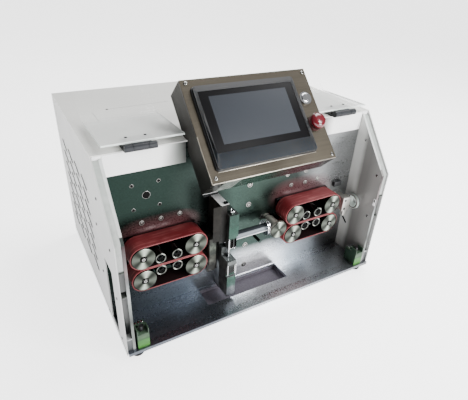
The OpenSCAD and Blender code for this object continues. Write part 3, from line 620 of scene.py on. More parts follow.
@dataclass(frozen=True)
class Metal:
    """Bare metal with ground lines along one axis and faint smudges.

    Attributes:
        grain: How much each axis is squeezed; the lines run along the axis with the least.
        streak: How much the lines change the colour.
    """

    name: str
    colour: Colour
    roughness: float = 0.25
    grain: Triple = (4.0, 300.0, 300.0)
    streak: float = 0.15
    groove: float = 0.15
    anisotropy: float = 0.0
    smudge: float = 0.1

    def build(self) -> Material:
        """Makes the material: noise stretched along the grain for colour and bump."""
        g = Graph(self.name)
        lines = g.noise(g.spot(self.grain), 1.0, 4.0, 0.6)
        cloud = g.noise(g.spot(), 14.0, 4.0)
        base = tone(*self.colour)
        dark, light = dimmed(base, 1 - self.streak), dimmed(base, 1 + self.streak)
        g.set(Base_Color=g.blend(g.spread(lines, 0, 1, 0.3, 0.7), dark, light),
              Metallic=1.0, Anisotropic=self.anisotropy,
              Roughness=g.spread(cloud, self.roughness - self.smudge / 2,
                                 self.roughness + self.smudge, 0.3, 0.7))
        g.bump(lines, self.groove, 0.04)
        return g.material


@dataclass(frozen=True)
class Graded:
    """Metal, paint or sheet whose tint runs through stops along one axis; its uses here paint
    light, shade and reflections that way.

    Attributes:
        axis: X, Y or Z.
        stops: Places in the machine's millimetres, in rising order, with the colours of the painted
            light and shade.
        metal: Share of metal in it.
        mottle: How much darker its patches are.
        patch: How fine the patches are.
        shine: Strength of the clear reflection over what isn't metal.
    """

    name: str
    axis: str
    stops: Tuple[Tuple[float, Colour], ...]
    roughness: float = 0.25
    metal: float = 0.6
    mottle: float = 0.15
    patch: float = 60.0
    shine: float = 0.2

    def build(self) -> Material:
        """Makes the material: a ramp along the axis, times patches of noise."""
        g = Graph(self.name)
        here = g.spot()
        place = g.add("SeparateXYZ", None, Vector=here).outputs[self.axis]
        low, high = self.stops[0][0], self.stops[-1][0]
        shift = ROW_SHIFT["XYZ".index(self.axis)]
        share = g.spread(place, 0, 1, (low + shift) * MM, (high + shift) * MM)
        tint = g.ramp(share, [((at - low) / (high - low), tone(*c)) for at, c in self.stops])
        cloud = g.noise(here, self.patch, 4.0, 0.6)
        gain = g.spread(cloud, 1 + self.mottle / 2, 1 - self.mottle, 0.38, 0.62)
        g.set(Base_Color=g.scaled(tint, gain), Metallic=self.metal, Specular_IOR_Level=self.shine,
              Roughness=g.spread(cloud, self.roughness - 0.05, self.roughness + 0.1))
        g.bump(g.noise(g.spot((1.0, 1.0, 0.2)), 500.0, 3.0), 0.1, 0.03)
        return g.material


@dataclass(frozen=True)
class Turned:
    """Lathe-turned metal: fine rings, and two bright fans painted into its colour as highlights.

    Attributes:
        fan: How much brighter the painted highlight fans are.
        turn: Share of a turn at which the first fan lies.
    """

    name: str
    colour: Colour
    roughness: float = 0.26
    anisotropy: float = 0.75
    fan: float = 5.0
    turn: float = 0.2

    def build(self) -> Material:
        """Makes the material: rings by the place along the profile, painted highlight fans by a
        cosine's power.
        """
        g = Graph(self.name)
        lay = g.add("UVMap", {"uv_map": "lay"}).outputs[0]
        rings = g.noise(g.add("Mapping", {"Scale": (0.0, 2600.0, 1.0)}, Vector=lay).outputs[0],
                        1.0, 3.0, 0.6)
        round_it = g.add("SeparateXYZ", None, Vector=lay).outputs["X"]
        angle = g.math("MULTIPLY", g.math("SUBTRACT", round_it, self.turn), 2 * math.pi)
        # Painted highlights: two bright fans as powers of the cosine and sine of the angle round.
        main = g.math("POWER", g.math("ABSOLUTE", g.math("COSINE", angle)), 14.0)
        side = g.math("POWER", g.math("ABSOLUTE", g.math("SINE", angle)), 8.0)
        gain = g.math("ADD", 1.0, g.math("ADD", g.math("MULTIPLY", main, self.fan),
                                        g.math("MULTIPLY", side, 0.2 * self.fan)))
        base = tone(*self.colour)
        ringed = g.blend(g.spread(rings, 0, 1, 0.3, 0.7), dimmed(base, 0.75), base)
        shade = g.scaled(ringed, gain)
        tangent = g.add("Tangent", {"direction_type": "UV_MAP", "uv_map": "lay"}).outputs[0]
        g.set(Base_Color=shade, Metallic=1.0,
              Roughness=g.spread(rings, self.roughness - 0.05, self.roughness + 0.08),
              Anisotropic=self.anisotropy, Tangent=tangent)
        g.bump(rings, 0.3, 0.03)
        return g.material


@dataclass(frozen=True)
class Belt:
    """Rubber-faced belt: fine lines along its length and worn paler patches."""

    name: str
    colour: Colour
    worn: Colour
    roughness: float = 0.42

    def build(self) -> Material:
        """Makes the material: noise drawn out along the belt's own length coordinate."""
        g = Graph(self.name)
        lay = g.add("UVMap", {"uv_map": "lay"}).outputs[0]
        lines = g.noise(g.add("Mapping", {"Scale": (150.0, 14.0, 1.0)}, Vector=lay).outputs[0],
                        1.0, 4.0, 0.6)
        patch = g.noise(g.spot(), 45.0, 4.0, 0.6)
        share = g.math("MULTIPLY", g.spread(lines, 0, 1, 0.45, 0.75),
                       g.spread(patch, 0, 1, 0.35, 0.65))
        g.set(Base_Color=g.blend(share, tone(*self.colour), tone(*self.worn)),
              Roughness=g.spread(patch, self.roughness - 0.08, self.roughness + 0.1))
        g.bump(lines, 0.2, 0.05)
        return g.material


@dataclass(frozen=True)
class BayPlate:
    """Rolled and polished plate: painted reflections as tints along its width, soft clouds and a
    fine sparkle.

    Attributes:
        stops: Places from the left wall, 0, to the right one, 1, with the colours of the painted
            reflections.
        foot: The same for a painted reflection, a brighter strip along the bottom.
        foot_z: Heights in metres between which the strip fades out.
        glow: Middles and half sizes of the belts' red painted reflection, in metres.
        sheen: Colour of that painted reflection.
        pan: Colour of what lies below the base's underside: painted shade.
        pan_z: Height in metres up to which the pan's colour shows.
        lip: Share of the tint that is left on the front edge's face, as painted shade.
        lip_y: Place in the machine's millimetres up to which the front edge's face reaches.
        metal: Share of metal outside the sheen and the pan.
        half: Distance in metres from the middle to each wall.
        cloud: How far the tints wander.
        sparkle: How much the fine grain changes colour and gloss.
    """

    name: str
    stops: Tuple[Tuple[float, Colour], ...]
    roughness: float = 0.16
    cloud: float = 0.5
    half: float = 0.2895
    sparkle: float = 0.3
    foot: Tuple[Tuple[float, Colour], ...] = ()
    foot_z: Tuple[float, float] = (0.062, 0.112)
    glow: Tuple[Four, ...] = ()
    sheen: Colour = (84, 48, 51)
    pan: Optional[Colour] = None
    pan_z: float = 0.0138
    lip: float = 1.0
    lip_y: float = -4.6
    metal: float = 0.94

    def build(self) -> Material:
        """Makes the material: painted reflections as a ramp over X from wall to wall, stirred by
        noise.
        """
        g = Graph(self.name)
        parts = g.add("SeparateXYZ", None, Vector=g.spot())
        width, rise = parts.outputs["X"], parts.outputs["Z"]
        stir = g.noise(g.spot((1.0, 1.0, 0.7)), 9.0, 4.0, 0.5)
        place = g.math("ADD", g.spread(width, 0, 1, -self.half, self.half),
                       g.math("MULTIPLY", g.math("SUBTRACT", stir, 0.5), 0.24 * self.cloud))
        tint = g.ramp(place, [(at, tone(*c)) for at, c in self.stops])
        # Painted reflection: a brighter strip along the bottom.
        if self.foot:
            low = g.ramp(place, [(at, tone(*c)) for at, c in self.foot])
            edge = g.math("ADD", rise, g.math("MULTIPLY", stir, 0.02))
            tint = g.blend(g.spread(edge, 0, 1, *self.foot_z), low, tint)
        metal = self.metal
        # Painted reflection of the belts: a red patch over each feed unit, where the metal gives
        # way to it.
        for x, z, half_w, half_h in self.glow:
            across = g.math("DIVIDE", g.math("SUBTRACT", width, x), half_w)
            upward = g.math("DIVIDE", g.math("SUBTRACT", rise, z), half_h)
            reach = g.math("ADD", g.math("POWER", g.math("ABSOLUTE", across), 4.0),
                           g.math("MULTIPLY", upward, upward))
            reach = g.math("ADD", reach, g.math("MULTIPLY", stir, 0.6))
            share = g.spread(reach, 0.9, 0.0, 0.3, 1.5)
            tint = g.blend(share, tint, tone(*self.sheen))
            metal = g.math("MULTIPLY", metal, g.math("SUBTRACT", 1.0, share))
        # Painted shade below the base's underside, and a darker front edge's face.
        if self.pan:
            inside = g.math("LESS_THAN", rise, self.pan_z)
            tint = g.blend(inside, tint, tone(*self.pan))
            front = g.math("LESS_THAN", parts.outputs["Y"], (ROW_SHIFT[1] + self.lip_y) * MM)
            tint = g.scaled(tint, g.spread(front, 1.0, self.lip))
        grain = g.noise(g.spot((0.7, 1.0, 1.0)), 420.0, 4.0, 0.7)
        scuff = g.noise(g.spot((3.0, 60.0, 60.0)), 1.0, 5.0, 0.65)
        light = g.spread(grain, 1 - self.sparkle, 1 + self.sparkle, 0.3, 0.7)
        shade = g.scaled(tint, light)
        gloss = g.math("ADD", g.spread(grain, -0.04, 0.08, 0.3, 0.7),
                       g.spread(scuff, self.roughness - 0.03, self.roughness + 0.09, 0.3, 0.7))
        if self.pan:
            metal = g.spread(inside, self.metal, 0.2)
            gloss = g.math("ADD", gloss, g.math("MULTIPLY", inside, 0.3))
        g.set(Base_Color=shade, Metallic=metal, Roughness=gloss)
        g.bump(grain, 0.1, 0.03)
        return g.material


@dataclass(frozen=True)
class Moulded:
    """Moulded plastic or rubber with a fine grain."""

    name: str
    colour: Colour
    roughness: float = 0.4
    grain: float = 0.2
    coat: float = 0.0
    scale: float = 1400.0
    shine: float = 0.5

    def build(self) -> Material:
        """Makes the material: grain noise as bump, slow noise on colour and roughness."""
        g = Graph(self.name)
        here = g.spot()
        base = tone(*self.colour)
        slow = g.noise(here, 30.0, 4.0)
        g.set(Base_Color=g.blend(slow, base, dimmed(base, 0.86)), Coat_Weight=self.coat,
              Coat_Roughness=0.06, Specular_IOR_Level=self.shine,
              Roughness=g.spread(slow, self.roughness - 0.05, self.roughness + 0.07))
        g.bump(g.noise(here, self.scale, 2.0), self.grain, 0.04)
        return g.material


@dataclass(frozen=True)
class Clear:
    """Clear sheet that lets light through, denser where it is seen edge on.

    Attributes:
        stops: Places from front to rear in the machine's millimetres, with their colours, which can
            paint shade along it.
        body: Share of light that it stops face on, and rim edge on.
        thin: Share of its density that is left at the last stop.
        shine: Level of its mirror-like gloss.
    """

    name: str
    stops: Tuple[Tuple[float, Colour], ...]
    body: float = 0.1
    rim: float = 0.5
    roughness: float = 0.04
    thin: float = 1.0
    shine: float = 0.5

    def build(self) -> Material:
        """Makes the material: alpha from the body's share and the edge-on share, thinner behind."""
        g = Graph(self.name)
        facing = g.add("LayerWeight", {"Blend": 0.25}).outputs["Facing"]
        dust = g.noise(g.spot(), 22.0, 5.0)
        alpha = g.math("ADD", g.spread(facing, self.body, self.rim),
                       g.math("MULTIPLY", dust, 0.03))
        behind = g.add("SeparateXYZ", None, Vector=g.spot()).outputs["Y"]
        low, high = ((self.stops[k][0] + ROW_SHIFT[1]) * MM for k in (0, -1))
        share = g.spread(g.math("ADD", behind, g.math("MULTIPLY", dust, 0.008)), 0, 1,
                         low, high)
        alpha = g.math("MULTIPLY", alpha, g.spread(share, 1.0, self.thin))
        first, span = self.stops[0][0], self.stops[-1][0] - self.stops[0][0]
        tint = g.ramp(share, [((at - first) / span, tone(*c)) for at, c in self.stops])
        g.set(Base_Color=tint, Alpha=alpha, Specular_IOR_Level=self.shine,
              Roughness=g.spread(dust, self.roughness, self.roughness + 0.08))
        return g.material


class Finishes:
    """All the finishes of the machine, made once."""

    def __init__(self) -> None:
        """Builds every material."""
        self.white = Paint("white_powder", (214, 214, 211), 0.42).build()
        # Painted shadow: the white fascia turns grey across the middle, where the console shades
        # it.
        self.fascia = Graded("white_gloss_painted_shadow", "X", (
            (-292, (250, 250, 250)), (-178, (250, 250, 248)), (-150, (150, 154, 150)),
            (-136, (84, 86, 84)), (136, (96, 92, 92)), (176, (150, 148, 144)),
            (196, (252, 252, 252)), (292, (252, 252, 252))), 0.3, 0.0, 0.02, 20.0).build()
        self.gloss = Paint("white_trim", (246, 246, 246), 0.22, 0.01, 0.1).build()
        # Painted shade: the walls darker towards the bottom, with the roof painted brighter.
        self.wall = Graded("white_wall_painted_shade", "Z", (
            (0, (156, 157, 157)), (40, (160, 161, 160)), (160, (172, 173, 172)),
            (300, (182, 183, 181)), (349.4, (188, 188, 186)), (350.4, (226, 226, 222)),
            (351, (226, 226, 222))), 0.45, 0.0, 0.03, 9.0, 0.4).build()
        # Painted reflections: green, dark and grey tints across the plate, a bright strip along its
        # foot and a red patch above each feed unit.
        self.plate = BayPlate("bay_plate_painted_reflections", (
            (0.0, (22, 34, 30)), (0.2, (24, 35, 31)), (0.3, (36, 45, 42)), (0.36, (16, 19, 18)),
            (0.44, (44, 58, 53)), (0.56, (42, 54, 49)), (0.7, (38, 44, 42)),
            (0.85, (128, 130, 131)), (1.0, (134, 136, 136))), foot=(
            (0.0, (70, 76, 78)), (0.25, (104, 112, 120)), (0.42, (190, 196, 202)),
            (0.5, (244, 244, 246)), (0.62, (244, 244, 246)), (0.74, (176, 184, 190)),
            (0.86, (96, 98, 100)), (1.0, (110, 110, 110))), glow=(
            (-0.1865, 0.2, 0.08, 0.031), (0.1355, 0.202, 0.085, 0.036)),
            roughness=0.27, sparkle=0.22).build()
        # Painted reflection: a bright patch across the middle of the base; painted shade below its
        # underside and on its front edge's face.
        self.base = BayPlate("base_plate_painted_reflection", (
            (0.0, (120, 126, 136)), (0.3, (124, 130, 140)), (0.42, (214, 218, 224)),
            (0.6, (214, 218, 224)), (0.75, (168, 174, 182)), (1.0, (140, 142, 146))),
            0.25, 0.8, sparkle=0.26, pan=(104, 100, 110), lip=0.45).build()
        # Painted shade: the console box darker towards the bottom.
        self.console = Graded("console_grey_painted_shade", "Z", (
            (275, (18, 18, 17)), (310, (26, 26, 24)), (350, (48, 47, 45)),
            (442, (64, 63, 60))), 0.5, 0.0, 0.06, 40.0, 0.12).build()
        # Painted reflections: tints across the console's underside.
        self.underside = Graded("console_underside", "X", (
            (-131, (34, 34, 32)), (-109, (38, 40, 36)), (-105, (120, 126, 120)),
            (-78, (124, 130, 124)), (-74, (50, 66, 58)), (-20, (46, 66, 58)), (15, (44, 50, 46)),
            (45, (62, 48, 50)), (90, (58, 50, 52)), (125, (68, 68, 68))), 0.2, 0.4, 0.3, 160.0,
            0.1).build()
        self.steel = Metal("console_steel", (63, 59, 52), 0.42, (3.0, 500.0, 500.0),
                           0.12, 0.12, 0.3).build()
        self.pale_steel = Metal("edge_steel", (160, 154, 143), 0.3, (3.0, 500.0, 500.0),
                                0.1, 0.1).build()
        self.bezel = Moulded("bezel_plastic", (55, 69, 84), 0.55, 0.12, shine=0.05).build()
        self.chrome = Metal("chrome", (226, 227, 229), 0.09, (300.0, 40.0, 40.0), 0.03,
                            0.03, 0.0, 0.05).build()
        self.screw = Metal("screw_steel", (132, 132, 130), 0.18, (300.0, 300.0, 300.0), 0.1,
                           0.1).build()
        self.dark_screw = Metal("black_screw", (52, 52, 54), 0.34, (300.0, 300.0, 300.0), 0.1,
                                0.1).build()
        # Painted shade for holes, recesses, gaps and other shaded faces, such as the bezel's outer
        # wall.
        self.hole = Moulded("hole_painted_shade", (8, 8, 8), 0.8, 0.1, shine=0.1).build()
        self.black = Moulded("black_plastic", (30, 31, 33), 0.4, 0.15).build()
        self.red = Moulded("stop_red", (92, 2, 19), 0.22, 0.02, 0.5).build()
        self.stop_base = Moulded("stop_base", (74, 44, 44), 0.4, 0.1, shine=0.3).build()
        # Painted shade along the right inner panel: darker in the middle, paler to the rear.
        self.clear = Clear("clear_acrylic", (
            (0, (136, 135, 133)), (24, (134, 133, 131)), (44, (112, 111, 109)),
            (62, (108, 107, 105)), (74, (184, 185, 182)), (90, (196, 197, 194))),
            0.86, 0.95, 0.2).build()
        # Painted shade along the left inner panel: dark at the front, paler to the rear.
        self.clear_left = Clear("clear_acrylic_left", (
            (0, (54, 59, 57)), (54, (58, 62, 60)), (64, (112, 112, 110)),
            (74, (184, 185, 182)), (90, (196, 197, 194))), 0.95, 0.98, 0.3, shine=0.05).build()
        self.cover = Clear("clear_cover", ((196, (238, 240, 238)), (240, (238, 240, 238))),
                           0.34, 0.6, 0.04, 0.06).build()
        self.edge = Moulded("polished_edge", (214, 226, 220), 0.2, 0.02, 0.5).build()
        self.cover_edge = Clear("cover_edge", ((196, (222, 230, 226)), (240, (230, 233, 231))),
                                0.86, 0.9, 0.12, 0.05).build()
        # Painted reflections and shade up the inner panels' front edges.
        self.rim = Graded("panel_rim_painted_reflections", "Z", (
            (0, (150, 152, 151)), (30, (104, 107, 104)), (60, (104, 108, 104)),
            (75, (66, 68, 67)), (110, (128, 134, 132)), (135, (150, 154, 154)),
            (165, (100, 100, 101)), (185, (116, 106, 106)), (222, (78, 72, 72)),
            (236, (48, 36, 38)), (245, (190, 192, 190)),
            (345, (206, 210, 208))), 0.3, 0.0, 0.1, 50.0, 0.12).build()
        self.slate = Moulded("hinge_slate", (26, 29, 34), 0.4, 0.15, shine=0.3).build()
        # Painted shade: dark bands where the hollow wings lie in shade, between pale bands.
        self.infill = Graded("wing_infill_painted_shade", "Z", (
            (7, (78, 80, 81)), (33, (84, 86, 87)), (35, (170, 172, 172)), (41, (170, 172, 172)),
            (43, (70, 72, 72)), (75, (56, 58, 57)), (105, (52, 56, 57)), (127, (44, 46, 45)),
            (128, (170, 172, 170)), (131, (170, 172, 170)), (133, (70, 73, 70)),
            (150, (72, 73, 70)), (188, (62, 66, 62)), (191, (160, 162, 160)),
            (343, (166, 172, 168))), 0.3, 0.0, 0.12, 60.0, 0.12).build()
        self.pale = Paint("pale_strip", (206, 208, 206), 0.3, 0.02, 0.1).build()
        self.seam = Paint("seam_grey", (160, 161, 158), 0.4, 0.05, 0.1).build()
        self.oxide = Metal("black_oxide", (30, 32, 33), 0.3, (40.0, 40.0, 40.0), 0.2,
                           0.1).build()
        self.belt = Belt("belt_red", (100, 18, 24), (158, 92, 90), 0.55).build()
        self.lining = Moulded("belt_lining", (26, 12, 13), 0.6, 0.2, shine=0.2).build()
        # Painted highlights: bright fans on the wheels' turned faces.
        self.turned = Turned("turned_alloy", (26, 28, 25), 0.22, 0.6, 30.0, 0.22).build()
        # Painted highlights: bright fans on the idlers.
        self.bearing = Turned("bearing_steel", (62, 63, 60), 0.2, 0.3, 7.0, 0.15).build()
        self.head = Metal("head_steel", (84, 92, 88), 0.18, (60.0, 60.0, 6.0), 0.12,
                          0.08).build()
        # Painted reflections: green and dark bands across the tools' fronts.
        self.head_front = Graded("tool_front_painted_reflections", "Z", (
            (17, (14, 14, 16)), (25, (74, 75, 79)), (38, (72, 76, 77)),
            (46, (56, 78, 72)), (68, (46, 72, 62)), (73, (34, 34, 34)), (95, (36, 38, 38)),
            (99, (96, 99, 99)), (139, (60, 62, 62)), (145, (32, 34, 34)),
            (158, (28, 31, 31)), (163, (42, 66, 58)), (180, (38, 64, 55)),
            (190, (40, 60, 53)), (213, (42, 60, 54)), (217, (14, 17, 16))),
            0.24, 0.4, 0.3, 160.0, 0.14).build()
        # Painted light and shade on the tools' left faces: pale at the foot, dark above.
        self.tool_side_painted_shade = Graded("tool_side_painted_shade", "Z", (
            (17, (96, 96, 100)), (24, (70, 70, 72)), (48, (64, 65, 65)), (60, (46, 46, 46)),
            (90, (46, 46, 45)), (104, (60, 61, 60)), (139, (30, 31, 30)), (200, (26, 26, 26)),
            (219, (26, 25, 24))), 0.5, 0.0, 0.5, 60.0, 0.05).build()
        # Painted highlight: a bright band along the hub and its post.
        self.hub = Graded("hub_steel_painted_highlight", "Z", (
            (125, (60, 58, 55)), (132, (120, 117, 110)), (138, (92, 90, 85)),
            (150, (104, 102, 96)), (157, (214, 210, 200)), (161, (196, 192, 182)),
            (164, (90, 88, 82))), 0.28, 0.6, 0.1, 90.0, 0.3).build()
        # Painted highlights: bright and dark stripes along the conduit tube.
        self.tube = Graded("tube_steel_painted_highlights", "Z", (
            (128, (92, 98, 104)), (135, (96, 103, 109)), (137.5, (110, 118, 124)),
            (138.5, (250, 252, 254)), (141.5, (250, 252, 254)), (142.5, (104, 110, 116)),
            (146, (112, 118, 124)), (149.5, (160, 166, 172)), (151, (56, 60, 64)),
            (153, (60, 64, 68)), (154, (196, 202, 206)), (157.5, (190, 196, 202)),
            (158.5, (48, 52, 56)), (161, (60, 64, 68))), 0.2, 0.3, 0.03, 90.0, 0.15).build()
        self.bright = Metal("bright_steel", (196, 194, 189), 0.36, (60.0, 60.0, 300.0), 0.08,
                            0.06).build()
        # Painted light and shade on the tools' tops: paler low down, darker high up.
        self.head_top = Graded("tool_top", "Z", (
            (100, (124, 128, 129)), (126, (110, 114, 114)), (200, (84, 87, 87)),
            (219, (80, 83, 83))), 0.25, 0.5, 0.4, 90.0).build()
        # Painted light and shade up the column's front: paler at its foot, dark above.
        self.column = Graded("column_steel_painted_shade", "Z", (
            (14, (84, 84, 88)), (40, (80, 79, 84)), (56, (46, 46, 45)), (74, (48, 48, 46)),
            (100, (20, 20, 20)), (128, (26, 26, 27)), (146, (34, 34, 34)), (190, (28, 28, 27)),
            (239, (34, 32, 31))), 0.4, 0.2, 0.3, 70.0, 0.1).build()
        # Painted light and shade up the column's left face and the panel beside it.
        self.column_side_painted_shade = Graded("column_side_painted_shade", "Z", (
            (14, (112, 113, 120)), (40, (104, 108, 115)), (60, (118, 124, 130)),
            (74, (146, 152, 156)), (86, (40, 42, 42)), (120, (40, 42, 40)), (165, (24, 24, 22)),
            (200, (26, 24, 22)), (239, (28, 27, 24))), 0.5, 0.1, 0.4, 50.0, 0.08).build()
        self.blade = Metal("blade_steel", (206, 208, 212), 0.14, (200.0, 8.0, 200.0), 0.08,
                           0.08).build()
        # Painted light and shade: dark and pale bands up the inlet guide.
        self.brass = Graded("guide_brass", "Z", (
            (100, (20, 20, 17)), (108, (66, 67, 62)), (118, (52, 53, 47)),
            (127, (26, 29, 26)), (140, (62, 67, 60)), (148, (56, 60, 55)),
            (156, (36, 37, 34)), (162, (44, 44, 41))), 0.38, 0.2, 0.6, 110.0, 0.12).build()
        # Painted light and shade: bands up the switches' fronts.
        self.green = Graded("switch_green", "Z", (
            (7, (62, 110, 46)), (25, (50, 98, 44)), (28, (36, 62, 38)), (31, (60, 84, 58)),
            (41, (52, 66, 54))), 0.45, 0.0, 0.1, 90.0, 0.2).build()
        # Painted light: a paler copy of the green for the switches' tops.
        self.switch_top_painted_light = Moulded("switch_top_painted_light", (64, 84, 66), 0.45, 0.15).build()
        # Painted shade: a darker copy of the green for the switches' other faces.
        self.painted_shade_green = Moulded("switch_side", (26, 48, 34), 0.45, 0.15).build()
        self.rubber = Moulded("foot_rubber", (9, 9, 10), 0.7, 0.4, 0.0, 500.0, 0.05).build()


# ---------------------------------------------------------------- fasteners


@dataclass(frozen=True)
class Fasteners:
    """Small screws and holes, made once each and copied to many places."""

    finishes: Finishes

    def socket_screw(self, radius: float = 3.4, height: float = 1.4,
                     socket: float = 0.5) -> Shape:
        """Button head with a socket, a share of its radius: its inner rings go down."""
        hexagon = socket * radius
        return turned([(radius, 0), (radius, height * 0.45), (radius * 0.86, height * 0.85),
                       (radius * 0.66, height), (hexagon, height), (hexagon * 0.98, 0.25),
                       (0.05, 0.2)], 18, cap_tag=1)

    def set_in_hole(self, radius: float, bore: float, height: float = 0.5) -> Shape:
        """Countersunk ring round a hole of painted shade, its bore a share of the radius."""
        return turned([(radius, 0), (radius, height * 0.7), (radius - 0.25, height),
                       (radius - 0.5, height), (radius * bore, 0.12)], 28, cap_tag=1)

    def marked(self, profile: Spots, dark: Sequence[int],
               steps: int = 36, hoop: bool = False) -> Shape:
        """Turned shape whose listed bands take the second, dark material: painted shade.

        Args:
            profile: Radius and height of each ring.
            dark: Numbers of the bands between two rings that are dark.
            steps: Sides round it.
            hoop: Whether its last ring joins the first.
        Returns:
            The shape, with finish number 1 on the dark bands and 0 on the others.
        """
        shape = turned(profile, steps, hoop)
        shape.tags = np.where(np.isin(np.arange(len(shape.quads)) // steps, dark), 1, 0)
        return shape

    def shaft_end(self) -> Shape:
        """Cap over a shaft's end: a fine ring of painted shade round a small centre hole, painted
        shade too.
        """
        return self.marked([(5.05, -0.9), (5.05, 0.1), (4.9, 0.2), (4.7, 0.2), (4.6, 0.05),
                            (3.1, 0.05), (3.0, 0.3), (1.3, 0.35), (1.2, 0.05), (0.05, 0.05)],
                           (2, 3, 4, 5, 7, 8))

    def ringed(self, radius: float) -> Shape:
        """Sunk screw in a bright ring: an outline of painted shade, the ring, a gap of painted
        shade and the head with a socket of painted shade.
        """
        r = radius
        return self.marked([(r + 0.7, 0.0), (r + 0.7, 0.1), (r, 0.12), (r, 0.4), (r - 0.3, 0.6),
                            (r - 0.9, 0.6), (r - 1.0, 0.25), (0.44 * r, 0.25), (0.42 * r, 0.5),
                            (0.2 * r, 0.6), (0.18 * r, 0.25), (0.05, 0.25)],
                           (0, 1, 5, 6, 7, 9, 10))

    def scatter(self, name: str, shape: Shape, seat: Seat, places: Spots,
                body: str, metal: Material, slot: str) -> bpy.types.Object:
        """Copies a fastener to places on one face.

        Args:
            name: The piece's name.
            shape: The fastener, standing on its own origin.
            seat: The face.
            places: Right and up of each fastener on it.
            body: The body that they ride on.
            metal: Their material; the dark inside, painted shade, is the second one.
            slot: The record's material slot; not used.
        Returns:
            The piece.
        """
        spots = np.column_stack([np.asarray(places, float), np.zeros(len(places))])
        return make(name, seat.put(repeat(shape, spots)), [metal, self.finishes.hole], body)


# ---------------------------------------------------------------- studio


@dataclass
class Studio:
    """Pale floor, soft light and the photograph's camera.

    Attributes:
        focal, sensor: Lens and sensor width in millimetres.
        place: The camera's place in metres.
        heading: Degrees from +Y towards +X that it looks.
        dip, roll: Degrees that it looks down and is turned on its own axis.
        floor_half: Half the floor's side in metres.
        glow: Strength of the floor's own light.
        sky: Strength of the light from all round.
    """

    focal: float = 31.54
    sensor: float = 36.0
    place: Triple = (-0.3900, -0.7227, 0.6348)
    heading: float = 31.04
    dip: float = 30.72
    roll: float = 3.01
    floor_half: float = 16.0
    glow: float = 2.9
    sky: float = 0.35

    def camera(self) -> bpy.types.Object:
        """Makes the camera: it looks along its heading from +Y towards +X, dipped and rolled."""
        yaw, pitch, roll = (math.radians(a) for a in (self.heading, self.dip, self.roll))
        ahead = Vector((math.sin(yaw) * math.cos(pitch), math.cos(yaw) * math.cos(pitch),
                        -math.sin(pitch)))
        right0 = Vector((math.cos(yaw), -math.sin(yaw), 0.0))
        up0 = right0.cross(ahead)
        right = math.cos(roll) * right0 + math.sin(roll) * up0
        up = -math.sin(roll) * right0 + math.cos(roll) * up0
        turn = Matrix((right, up, -ahead)).transposed().to_4x4()
        data = bpy.data.cameras.new("photo_camera")
        data.lens, data.sensor_width, data.sensor_fit = self.focal, self.sensor, "HORIZONTAL"
        data.clip_start, data.clip_end = 0.02, 30.0
        camera = bpy.data.objects.new("photo_camera", data)
        bpy.context.scene.collection.objects.link(camera)
        camera.matrix_world = Matrix.Translation(Vector(self.place)) @ turn
        bpy.context.scene.camera = camera
        return camera

    def light(self, name: str, where: Triple, aim: Triple, size: float,
              power: float) -> None:
        """Hangs one soft, white, square light.

        Args:
            name: The light's name.
            where: Its middle.
            aim: The point that it faces.
            size: Its side.
            power: Its watts.
        """
        data = bpy.data.lights.new(name, "AREA")
        data.size, data.energy = size, power
        lamp = bpy.data.objects.new(name, data)
        bpy.context.scene.collection.objects.link(lamp)
        lamp.location = where
        lamp.rotation_euler = (Vector(aim) - Vector(where)).to_track_quat("-Z", "Y").to_euler()

    def paper(self) -> Material:
        """White seamless paper that glows a little, as if lit from below."""
        g = Graph("floor_paper")
        fleck = g.blend(g.noise(g.spot(), 3.0), tone(250, 250, 250), tone(246, 246, 246))
        g.set(Base_Color=fleck, Roughness=0.9, Emission_Color=fleck,
              Emission_Strength=self.glow)
        return g.material

    def build(self) -> None:
        """Makes the floor, the sky, the lights and the camera."""
        self.camera()
        mesh = bpy.data.meshes.new("floor")
        half = self.floor_half
        mesh.from_pydata([(-half, -half, 0), (half, -half, 0), (half, half, 0),
                          (-half, half, 0)], [], [(0, 1, 2, 3)])
        floor = bpy.data.objects.new("floor", mesh)
        bpy.context.scene.collection.objects.link(floor)
        mesh.materials.append(self.paper())
        sky = bpy.data.worlds.new("studio")
        bpy.context.scene.world = sky
        sky.use_nodes = True
        back = sky.node_tree.nodes["Background"]
        back.inputs["Color"].default_value = (1.0, 1.0, 1.0, 1.0)
        back.inputs["Strength"].default_value = self.sky
        self.light("overhead", (0.9, 0.2, 2.0), (0.1, 0.0, 0.2), 1.2, 60.0)
        self.light("streak", (0.95, -1.35, 1.5), (0.05, -0.1, 0.05), 0.45, 26.0)
        self.light("front", (0.9, -2.4, 0.75), (0.0, 0.0, 0.2), 0.9, 60.0)


# ---------------------------------------------------------------- cabinet


